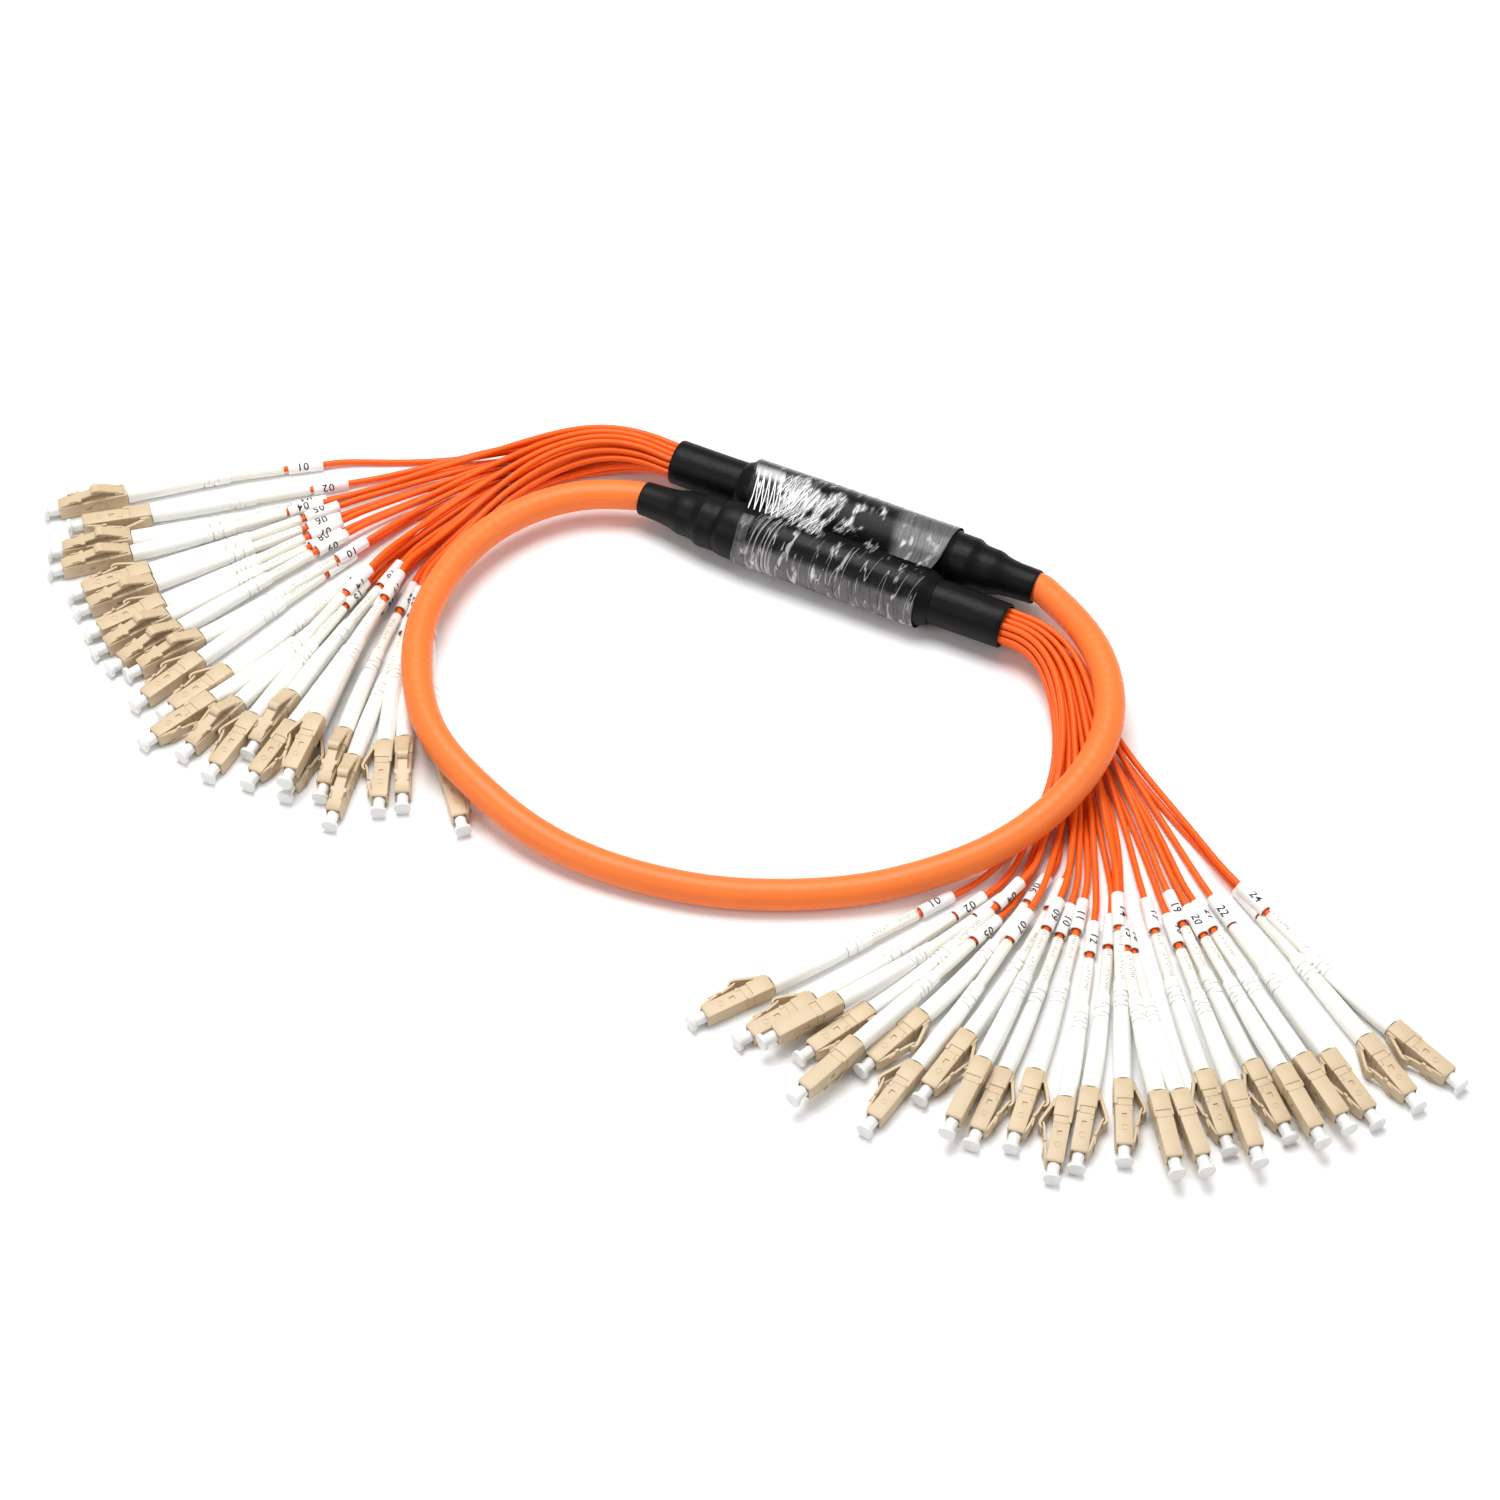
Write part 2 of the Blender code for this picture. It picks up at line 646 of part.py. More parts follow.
def add_film(collection, finish):
    """A band of clear film round both sleeves, a ring with round ends in section."""
    heading = (SLEEVE_A_HEADING - 180 + SLEEVE_B_HEADING) / 2
    along = unit(heading)
    back = np.array([-along[1], along[0]])
    end_a = sleeve_end(SLEEVE_A_MOUTH, SLEEVE_A_HEADING, 0)
    radius = SLEEVE_BODY_DIAMETER / 2 + FILM_GAP
    corner = np.array(SLEEVE_A_MOUTH) * MM
    form = bmesh.new()
    rings = []
    for share in (0.0, 1.0):
        station = FILM_START + share * FILM_LENGTH
        on_a = corner + along * station
        slope = (end_a - corner) / np.linalg.norm(end_a - corner)
        on_a = corner + slope * (station / np.dot(slope, along))
        mouth_b = np.array(SLEEVE_B_MOUTH) * MM
        slope_b = unit(SLEEVE_B_HEADING)
        offset = np.dot(on_a - mouth_b, along) / np.dot(slope_b, along)
        on_b = mouth_b + slope_b * offset
        far, near = np.dot(on_a, back), np.dot(on_b, back)
        base = np.dot(on_a, along)
        ring = []
        for k in range(24):
            angle = math.radians(15 * k + 7.5)
            middle = far if math.cos(angle) > 0 else near
            side = middle + radius * math.cos(angle)
            place = along * base + back * side
            up = SLEEVE_AXIS_HEIGHT * MM + radius * math.sin(angle)
            ring.append(form.verts.new((place[0], place[1], up)))
        rings.append(ring)
    for k in range(24):
        n = (k + 1) % 24
        form.faces.new((rings[0][k], rings[0][n], rings[1][n], rings[1][k]))
    bmesh.ops.recalc_face_normals(form, faces=form.faces)
    made = mesh_object("film_wrap", form, collection, finish)
    wall = made.modifiers.new("wall", "SOLIDIFY")
    wall.thickness = FILM_THICKNESS
    wall.offset = 1.0
    wall.use_even_offset = True
    return made


def main():
    clear_scene()
    whole = bpy.data.collections.new(OBJECT_NAME)
    cutters = bpy.data.collections.new("cutters")
    bpy.context.scene.collection.children.link(whole)
    bpy.context.scene.collection.children.link(cutters)
    orange = material("trunk_jacket", (0.85, 0.22, 0.05), 0.4)
    lead_orange = material("lead_jacket", (0.85, 0.16, 0.02), 0.4)
    black = material("shrink_black", (0.015, 0.015, 0.016), 0.45)
    clear = material("film_clear", (0.8, 0.8, 0.8), 0.15)
    fan_a = lay_fan(SLEEVE_A_MOUTH, SLEEVE_A_HEADING, NECK_A, FAN_A, True)
    fan_b = lay_fan(SLEEVE_B_MOUTH, SLEEVE_B_HEADING, NECK_B, FAN_B, True)
    add_trunk(whole, orange)
    add_sleeve("furcation_sleeve_a", whole, SLEEVE_A_MOUTH, SLEEVE_A_HEADING, black)
    add_sleeve("furcation_sleeve_b", whole, SLEEVE_B_MOUTH, SLEEVE_B_HEADING, black)
    add_film(whole, clear)
    add_harness("lead_harness_a", whole, cutters, fan_a, SLEEVE_A_MOUTH, SLEEVE_A_HEADING, lead_orange)
    add_harness("lead_harness_b", whole, cutters, fan_b, SLEEVE_B_MOUTH, SLEEVE_B_HEADING, lead_orange)
    add_connectors(whole, cutters, (("a", FAN_A), ("b", FAN_B)))
    for placed in bpy.data.objects:
        placed.matrix_world = Matrix.Translation(LAYOUT_SHIFT) @ placed.matrix_world


main()
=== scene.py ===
"""Dresses the armoured 24 fibre patch cord: a trunk in an open ring, a shrink sleeve at each end, clear
film round both sleeves, and 24 leads out of each, with a number sleeve, a shrink tube, a boot and a
latched connector on every lead. Lengths are metres; the layout tables hold millimetres and degrees.
"""

import functools
import math

import bmesh
import bpy
import numpy as np
from mathutils import Matrix, Vector


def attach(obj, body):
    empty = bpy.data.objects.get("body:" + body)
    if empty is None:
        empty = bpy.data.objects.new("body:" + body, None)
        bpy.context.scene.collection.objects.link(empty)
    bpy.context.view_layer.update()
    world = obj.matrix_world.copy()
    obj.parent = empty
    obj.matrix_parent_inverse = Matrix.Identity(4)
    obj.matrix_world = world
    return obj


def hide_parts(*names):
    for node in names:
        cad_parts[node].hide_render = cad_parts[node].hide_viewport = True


bl_info = {
    "name": "Armoured patch cord",
    "version": (1, 0, 0),
    "blender": (4, 5, 0),
    "location": "3D View > Sidebar > Patch cord",
    "description": "Builds an armoured fibre patch cord with a fan of latched connectors at each end",
    "category": "Add Mesh",
}

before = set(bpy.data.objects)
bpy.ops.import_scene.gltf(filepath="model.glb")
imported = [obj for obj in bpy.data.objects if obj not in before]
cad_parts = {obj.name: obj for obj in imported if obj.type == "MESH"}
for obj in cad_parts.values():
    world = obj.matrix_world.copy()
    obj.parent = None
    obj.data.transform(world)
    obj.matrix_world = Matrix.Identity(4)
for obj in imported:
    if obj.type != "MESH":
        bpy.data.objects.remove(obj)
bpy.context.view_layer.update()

MM = 0.001
CLEARANCE = 0.3 * MM
SHIFT = Vector((11.63 * MM, 14.5 * MM, -0.085 * MM))
MOST_DECLARED = 39

# Sizes that set where everything lies
TRUNK_DIAMETER = 8.6 * MM
TRUNK_BORE_DEPTH = 9.0 * MM
LEAD_DIAMETER = 1.8 * MM
LEAD_GAP = 0.16 * MM
ROW_COUNTS = (4, 5, 6, 5, 4)
TUBE_DIAMETER = 3.1 * MM
TUBE_LENGTH = 27.5 * MM
BOOT_ROOT = 5.0 * MM / 2
BOOT_TIP = 4.0 * MM / 2
BOOT_LENGTH = 30.5 * MM
CONNECTOR_LENGTH = 20.0 * MM
REAR_WIDTH = 5.1 * MM
MOUTH_DEPTH = 8.0 * MM
PLUG_LENGTH = 4.0 * MM
SLEEVE_WALL = 0.7 * MM
SLEEVE_LENGTH = 115.0 * MM
SLEEVE_BODY_DIAMETER = 17.2 * MM
SLEEVE_AXIS_HEIGHT = 9.3 * MM
FILM_START = 30.5 * MM
FILM_LENGTH = 57.5 * MM
FILM_EARLY = 6.0 * MM
FILM_STAND = 0.32 * MM
FILM_DIP = 1.5 * MM
FILM_FLOOR_GAP = 0.36 * MM

# Where a lead's number sleeve ends and its shrink tube starts, and how much that varies
LABEL_END = 11.3 * MM
LABEL_SPREAD = 1.4 * MM
LABEL_WALL = 0.42 * MM
LABEL_TURN = 58
LABEL_TURN_SPREAD = 105
DIGITS_BACK = 4.4 * MM
DIGITS_RISE = 0.03 * MM
TUBE_START = 11.4 * MM
TUBE_SPREAD = 1.2 * MM
TUBE_IN_BOOT = 1.6 * MM

# How a lead curves, settles on the floor and on what lies below it, and bends
NECK_PULL_IN = 0.36
NECK_PULL_OUT = 0.3
TAIL_PULL = 0.45
FINE = 1.5 * MM
WINDOW = 4.0 * MM
SETTLE = 34.0 * MM
EASE = 9.0 * MM
STRAIGHT = 6.0 * MM
LOOSE = 0.25 * MM
FLOOR_GAP = 0.3 * MM
FLOOR_TOUCH = 0.12 * MM
STEEPEST = 0.4
STIFF_REACH = 26.0 * MM
LIMP_REACH = 7.0 * MM
HELD = 1e8

# Sleeve mouths and the way out of each, then the necks where the bundles spread
MOUTHS = {"a": ((-21.4, 103.2), 154.0), "b": ((72.4, 37.9), -26.0)}
NECKS = {
    "a": ((-74.5, 113.0, 186, 0.36), (-71.5, 91.0, 230, 0.36)),
    "b": ((82.0, -16.0, 252, 0.24), (103.0, -2.0, 302, 0.52)),
}

# Connectors in fan order: nose x, nose y, heading, roll, height of the axis
SEATS = {
    "a": (
        (-203, 90, 197, 0, 2.7), (-195.2, 83.8, 192, 90, 2.7), (-199.8, 73.2, 194, 0, 2.7),
        (-199, 66, 198, 0, 2.7), (-192, 57, 204, -90, 2.7), (-189.5, 50.9, 208, 0, 2.7),
        (-185.5, 42.2, 212, -90, 2.7), (-182.9, 35.9, 216, 0, 2.7), (-178, 30, 220, 0, 2.7),
        (-172.4, 27.6, 216, 0, 2.7), (-169.7, 16.5, 226, -90, 2.7), (-161.6, 12.6, 224, -90, 2.7),
        (-165.5, 2.4, 223, 90, 2.7), (-155, -1.4, 234, 0, 2.7), (-147.5, -8.5, 243, -90, 2.7),
        (-137.3, -0.3, 244, 0, 2.7), (-136.4, -11.4, 243, 90, 2.7), (-126.4, -15.4, 255, 90, 2.7),
        (-125.8, -15, 253, -90, 8.5), (-117, -15.5, 258, 0, 2.7), (-113.7, -25.3, 258, 0, 2.7),
        (-101.5, -20.4, 269, -90, 2.7), (-95.2, -19, 272, 0, 2.7), (-79, -27, 285, 90, 2.7),
    ),
    "b": (
        (-12, -93, 210, -90, 2.7), (0, -99, 213, -90, 2.7), (6.4, -101.6, 213, 180, 6.35),
        (15.8, -103.8, 219, 90, 2.7), (13.7, -118.7, 226, 180, 6.35), (31.2, -107.3, 226, 90, 2.7),
        (31.4, -125.4, 235, -90, 2.7), (45.6, -115.8, 236, 90, 2.7), (51.4, -128.2, 245, 180, 6.35),
        (57.6, -129.2, 247, 90, 2.7), (67.3, -130.1, 252, 90, 2.7), (76.7, -139.2, 258, -90, 2.7),
        (83, -136.2, 258, 90, 2.7), (94.7, -134, 267, 90, 2.7), (106.6, -140, 278, 180, 6.35),
        (113.7, -139.3, 283, 180, 6.35), (120.6, -130.9, 282, -90, 2.7), (127.3, -136.8, 282, 180, 6.35),
        (135.7, -127.2, 289, -90, 2.7), (143.2, -130.9, 291, 180, 6.35), (150, -127, 295, 180, 6.35),
        (158, -123, 297, -90, 2.7), (169, -118, 299, -90, 2.7), (180, -112, 311, -90, 2.7),
    ),
}

# Trunk from the second sleeve round to the first: x, y, axis height
TRUNK_ROUTE = (
    (-46, 90.5, 9.3), (-59, 87, 9.3), (-72, 79, 9.3), (-83, 66, 9.6), (-91, 48, 10.0),
    (-94, 32, 10.3), (-93, 17, 10.4), (-90, 2, 10.4), (-83, -11, 10.3), (-72, -23, 8.9),
    (-60, -34, 6.9), (-40, -45, 5.2), (-13, -53, 4.6), (8, -54.5, 4.6), (27, -53.5, 4.8),
    (40, -51, 5.6), (54, -47, 7.2), (67, -42, 9.2), (81, -32, 11.8), (91, -20, 13.2),
    (98, -7, 14.0), (100, 9, 14.0), (98, 23.5, 13.8), (94.6, 33, 12.5), (88.6, 44.6, 10.3),
)


def unit(degrees):
    angle = math.radians(degrees)
    return np.array([math.cos(angle), math.sin(angle)])


def slots():
    """Places of the leads in a sleeve's mouth, across and up, in order across the bundle."""
    pitch = LEAD_DIAMETER + LEAD_GAP
    rise = pitch * math.sqrt(3) / 2
    middle = (len(ROW_COUNTS) - 1) / 2
    places = []
    for row, count in enumerate(ROW_COUNTS):
        for k in range(count):
            places.append(((k - (count - 1) / 2) * pitch, (row - middle) * rise, row))
    return sorted(places, key=lambda place: (round(place[0], 7), place[2]))


def mouth_bore_radius():
    reach = max(math.hypot(across, up) for across, up, _ in slots())
    return reach + LEAD_DIAMETER / 2 + LEAD_GAP


def bezier(start, start_heading, start_pull, end, end_heading, end_pull, count=60):
    """Plan points of a curve that leaves start and reaches end along the given headings."""
    a, d = np.array(start), np.array(end)
    b = a + unit(start_heading) * start_pull
    c = d - unit(end_heading) * end_pull
    t = np.linspace(0.0, 1.0, count)[:, None]
    return (1 - t) ** 3 * a + 3 * (1 - t) ** 2 * t * b + 3 * (1 - t) * t**2 * c + t**3 * d


def lengths_along(points):
    steps = np.linalg.norm(np.diff(points, axis=0), axis=1)
    return np.concatenate([[0.0], np.cumsum(steps)])


def resample(points, spacing):
    """The same curve with evenly spaced points, and the distance of each along it."""
    points = np.asarray(points)
    along = lengths_along(points)
    count = max(2, int(math.ceil(along[-1] / spacing)) + 1)
    distance = np.linspace(0.0, along[-1], count)
    columns = [np.interp(distance, along, points[:, k]) for k in range(points.shape[1])]
    return np.stack(columns, axis=1), distance


def smooth_route(points, steps=14):
    """Points on a Catmull Rom curve through a route's own points."""
    p = np.asarray(points, float)
    p = np.vstack([2 * p[0] - p[1], p, 2 * p[-1] - p[-2]])
    out = []
    for k in range(1, len(p) - 2):
        for t in np.linspace(0.0, 1.0, steps, endpoint=False):
            a = 2 * p[k]
            b = p[k + 1] - p[k - 1]
            c = 2 * p[k - 1] - 5 * p[k] + 4 * p[k + 1] - p[k + 2]
            d = 3 * p[k] - p[k - 1] - 3 * p[k + 1] + p[k + 2]
            out.append((a + b * t + c * t**2 + d * t**3) / 2)
    out.append(p[-2])
    return np.array(out)


def ease(x):
    x = np.clip(x, 0.0, 1.0)
    return x * x * (3 - 2 * x)


def relaxed(points, rounds, held):
    """The same line evened out, as a stiff cable lies, with its first and last points held."""
    points = np.array(points)
    for _ in range(rounds):
        middle = (points[:-2] + points[2:]) / 2
        points[1:-1][held:-held] += 0.5 * (middle - points[1:-1])[held:-held]
    return points


class Lead:
    """One lead from its slot in the mouth to the back of its connector, settled as in the solids."""

    def __init__(self, side, number, slot, neck):
        self.side, self.number, self.name = side, number, f"{side}_{number:02d}"
        self.node = "lead_harness_" + side
        self.seat = SEATS[side][number - 1]
        mouth, mouth_heading = MOUTHS[side]
        across, up, self.row = slot
        heading = unit(mouth_heading)
        right = np.array([heading[1], -heading[0]])
        self.slot_height = SLEEVE_AXIS_HEIGHT + up
        start = np.array(mouth) * MM - heading * (MOUTH_DEPTH - PLUG_LENGTH / 2) + right * across
        nose = np.array(self.seat[:2]) * MM
        tail_heading, self.tail_height = self.seat[2], self.seat[4] * MM
        end = nose - unit(tail_heading) * (CONNECTOR_LENGTH + CLEARANCE)
        back = end - unit(tail_heading) * STRAIGHT
        neck_place, neck_heading = np.array(neck[:2]) * MM, neck[2]
        self.curve_at = MOUTH_DEPTH + 2 * MM
        out = start + heading * self.curve_at
        reach = np.linalg.norm(neck_place - out)
        pull = NECK_PULL_IN * reach
        first = bezier(out, mouth_heading, neck[3] * reach, neck_place, neck_heading, pull)
        reach = np.linalg.norm(back - neck_place)
        pull = NECK_PULL_OUT * reach
        second = bezier(neck_place, neck_heading, pull, back, tail_heading, TAIL_PULL * reach)
        self.plan, self.along = resample(np.vstack([start[None], first, second[1:], end[None]]), FINE)
        self.length = self.along[-1]
        left = self.length - self.along
        boot = np.interp(left, (0.0, BOOT_LENGTH), (BOOT_ROOT, BOOT_TIP))
        thin = np.where(left <= BOOT_LENGTH + TUBE_LENGTH, TUBE_DIAMETER / 2, LEAD_DIAMETER / 2)
        self.radius = np.where(left <= BOOT_LENGTH, boot, thin)
        self.height = None

    def settle(self, laid):
        """Lowest smooth height over the floor and over what already lies there."""
        slack = LEAD_GAP + LOOSE * ease((self.along - self.curve_at) / (2 * EASE))
        reach = (self.radius + slack)[:, None] + laid[None, :, 3]
        gap = np.hypot(
            self.plan[:, None, 0] - laid[None, :, 0], self.plan[:, None, 1] - laid[None, :, 1]
        )
        over = np.where(gap < reach, laid[None, :, 2] + np.sqrt(np.maximum(reach**2 - gap**2, 0)), 0)
        lowest = np.maximum(self.radius + FLOOR_GAP, over.max(axis=1))
        lowest = np.maximum(lowest, self.slot_height * (1 - ease(self.along / SETTLE)))
        window = int(round(WINDOW / FINE))
        count = len(lowest)

        def nearby(values, taken):
            """The most or the mean of the values within the window of each point."""
            padded = np.pad(values, window, mode="edge")
            return taken([padded[k : k + count] for k in range(2 * window + 1)], axis=0)

        raised = nearby(lowest, np.max)
        step = STEEPEST * FINE
        for k in range(1, count):
            raised[k] = max(raised[k], raised[k - 1] - step)
        for k in range(count - 2, -1, -1):
            raised[k] = max(raised[k], raised[k + 1] - step)
        even = nearby(raised, np.mean)
        from_start = ease((self.along - MOUTH_DEPTH) / EASE)
        from_end = ease((self.length - STRAIGHT - self.along) / (1.6 * EASE))
        height = self.slot_height + (even - self.slot_height) * from_start
        self.height = self.tail_height + (height - self.tail_height) * from_end

    def samples(self):
        return np.column_stack([self.plan, self.height, self.radius])

    @functools.cached_property
    def route(self):
        """The lead as it lies, bent as evenly as its stiff boot and tubes allow."""
        points = np.column_stack([self.plan, self.height])
        left = self.length - self.along
        dressed = left < BOOT_LENGTH + TUBE_LENGTH + 4 * MM
        give = np.where(dressed, STIFF_REACH, LIMP_REACH)
        fixed = (self.along < MOUTH_DEPTH + 3 * MM) | (left < STRAIGHT * 0.6)
        hold = np.where(fixed, HELD, 1.0)
        bend = np.zeros((len(points) - 2, len(points)))
        for k in range(len(bend)):
            bend[k, k : k + 3] = np.array((1.0, -2.0, 1.0)) * (give[k + 1] / FINE) ** 2
        evened = np.linalg.solve(np.diag(hold) + bend.T @ bend, hold[:, None] * points)
        evened[:, 2] = np.maximum(evened[:, 2], self.radius + FLOOR_TOUCH)
        return evened + np.array(SHIFT)

    @functools.cached_property
    def run(self):
        """Length of the lead as it lies, its rises and dips included."""
        return float(lengths_along(self.route)[-1])

    def chance(self, salt):
        """An even looking but repeatable value from 0 to 1, for what differs from lead to lead."""
        salt += self.side == "b"
        return (math.sin(self.number * 12.9898 + salt * 78.233) * 43758.5453) % 1.0


def connector_matrix(seat):
    """Local X to the heading, rolled about it, with the origin at the back of the housing."""
    tail = np.array(seat[:2]) * MM - unit(seat[2]) * CONNECTOR_LENGTH
    place = Matrix.Translation((tail[0], tail[1], seat[4] * MM))
    turn = Matrix.Rotation(math.radians(seat[2]), 4, "Z")
    return place @ turn @ Matrix.Rotation(math.radians(-seat[3]), 4, "X")


def connector_samples(seat):
    """Round samples of a connector, for the leads that pass over or beside it."""
    matrix = connector_matrix(seat)
    local = [(x * MM, 0, 0, REAR_WIDTH / 2) for x in np.arange(0, 20.1, 1.5)]
    top = REAR_WIDTH / 2
    local += [(x * MM, 0, top + 1.6 * MM, 1.6 * MM) for x in (3.0, 5.0, 7.0, 9.0, 11.0, 13.0)]
    local += [(x * MM, 0, top + 2.4 * MM, 1.2 * MM) for x in (6.5, 8.5, 10.0)]
    return [(*(matrix @ Vector(place[:3])), place[3]) for place in local]


@functools.cache
def fan(side):
    """The 24 leads of one fan, each settled over those laid before it."""
    places, seats = slots(), SEATS[side]
    first, last = (np.array(neck) for neck in NECKS[side])
    leads = []
    for k in range(len(seats)):
        share = k / (len(seats) - 1)
        leads.append(Lead(side, k + 1, places[-1 - k], first * (1 - share) + last * share))
    fixed = [connector_samples(seat) for seat in seats]
    laid = np.zeros((0, 4))
    for k in sorted(range(len(leads)), key=lambda n: leads[n].row):
        others = [sample for n, own in enumerate(fixed) if n != k for sample in own]
        leads[k].settle(np.vstack([laid, np.array(others)]))
        laid = np.vstack([laid, leads[k].samples()])
    return leads


def all_leads():
    return [*fan("a"), *fan("b")]


# Shapes


def placed(name, data):
    """A new object in the scene."""
    made = bpy.data.objects.new(name, data)
    bpy.context.scene.collection.objects.link(made)
    return made


def evaluated_mesh(holder):
    """A new mesh of an object as it is drawn, with its modifiers applied."""
    bpy.context.view_layer.update()
    graph = bpy.context.evaluated_depsgraph_get()
    return bpy.data.meshes.new_from_object(holder.evaluated_get(graph))


class Shape:
    """Points, faces, a map of along and around for each corner, and a finish for each face."""

    def __init__(self):
        self.points = []
        self.faces = []
        self.map = []
        self.finish = []

    def add(self, points, faces, corners=None, finish=0):
        base = len(self.points)
        self.points += np.asarray(points).tolist()
        self.faces += [[base + k for k in face] for face in faces]
        self.map += corners or [(0.0, 0.0)] * sum(map(len, faces))
        self.finish += [finish] * len(faces)

    def loft(self, grid, finish=0, along=None, around=1.0, ring=False, ends=True):
        """Faces over rows of points that each go once round. A ring joins its last row to its first."""
        grid = np.asarray(grid, float)
        rows, count = grid.shape[:2]
        along = np.zeros((rows, count)) if along is None else along
        low = np.arange(count) / count * around
        high = low + around / count
        here = np.arange(rows * count).reshape(rows, count)
        if ring:
            here = np.vstack([here, here[:1]])
        beside = np.roll(here, -1, axis=1)
        quads = np.stack([here[:-1], beside[:-1], beside[1:], here[1:]], axis=2)
        turns = np.broadcast_to(np.stack([low, high, high, low], axis=1), quads.shape)
        faces = quads.reshape(-1, 4).tolist()
        corners = np.stack([along.ravel()[quads], turns], axis=3).reshape(-1, 2).tolist()
        if ends:
            faces += [here[0, ::-1].tolist(), here[-1].tolist()]
            corners += np.column_stack([along[0], low])[::-1].tolist()
            corners += np.column_stack([along[-1], low]).tolist()
        self.add(grid.reshape(-1, 3), faces, corners, finish)

    def mesh(self, name, finishes=(), crease=35):
        mesh = bpy.data.meshes.new(name)
        mesh.from_pydata(self.points, [], self.faces)
        layer = mesh.uv_layers.new(name="along_around")
        layer.data.foreach_set("uv", np.array(self.map, np.float32).ravel())
        mesh.polygons.foreach_set("material_index", np.array(self.finish, np.int32))
        for finish in finishes:
            mesh.materials.append(finish_of(finish))
        mesh.shade_smooth()
        mesh.set_sharp_from_angle(angle=math.radians(crease))
        return mesh


def frames_along(route, stations):
    """Place, left and up at each station of a route that lies nearly flat."""
    route = np.asarray(route, float)
    along = lengths_along(route)
    stations = np.asarray(stations, float)

    def at(distance):
        return np.stack([np.interp(distance, along, route[:, k]) for k in range(3)], axis=1)

    def inside(distance):
        return np.clip(distance, 0, along[-1])

    reach = 1.2 * MM
    heading = at(inside(stations + reach)) - at(inside(stations - reach))
    heading /= np.linalg.norm(heading, axis=1)[:, None]
    left = np.cross([0.0, 0.0, 1.0], heading)
    left /= np.linalg.norm(left, axis=1)[:, None]
    place = at(inside(stations)) + heading * (stations - inside(stations))[:, None]
    return place, left, np.cross(heading, left)


def skin(route, profile, sides, ring=False, swell=None, shape=None, finish=0):
    """A round skin along a route, from a profile of stations and radii. A ring's profile is closed."""
    shape = shape or Shape()
    stations, radius = (column[:, None] for column in np.array(profile, float).T)
    angles = np.arange(sides)[None] * 2 * math.pi / sides
    if swell:
        radius = radius + swell(stations, angles)
    place, left, up = frames_along(route, stations[:, 0])
    out = np.cos(angles)[..., None] * left[:, None] + np.sin(angles)[..., None] * up[:, None]
    along = np.repeat(stations / MM, sides, axis=1)
    shape.loft(place[:, None] + radius[..., None] * out, finish, along, ring=ring, ends=not ring)
    return shape


def stops_between(start, end, spacing):
    return list(np.linspace(start, end, max(2, int(math.ceil((end - start) / spacing)) + 1)))


def stand_for(piece, node):
    """Rides the piece on the one body, and lets it stand for its CAD node."""
    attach(piece, "root")
    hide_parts(node)
    return piece


def as_piece(name, shape, finishes, node, crease=35):
    return stand_for(placed(name, shape.mesh(name, finishes, crease)), node)


# Finishes


class Reading:
    """A number that varies over a surface. Expressions on it add the Math nodes."""

    def __init__(self, finish, socket):
        self.finish = finish
        self.socket = socket

    def worked(self, operation, other=0.0, reflected=False):
        first, second = (other, self) if reflected else (self, other)
        return self.finish.node("ShaderNodeMath", {"operation": operation}, {0: first, 1: second})

    def __add__(self, other):
        return self.worked("ADD", other)

    def __sub__(self, other):
        return self.worked("SUBTRACT", other)

    def __rsub__(self, other):
        return self.worked("SUBTRACT", other, reflected=True)

    def __mul__(self, other):
        return self.worked("MULTIPLY", other)

    def __gt__(self, other):
        return self.worked("GREATER_THAN", other)

    def __lt__(self, other):
        return self.worked("LESS_THAN", other)

    __radd__ = __add__
    __rmul__ = __mul__

    def sine(self):
        return self.worked("SINE")

    def size(self):
        return self.worked("ABSOLUTE")

    def part(self):
        return self.worked("FRACT")

    def step(self):
        return self.worked("FLOOR")

    def most(self, other):
        return self.worked("MAXIMUM", other)


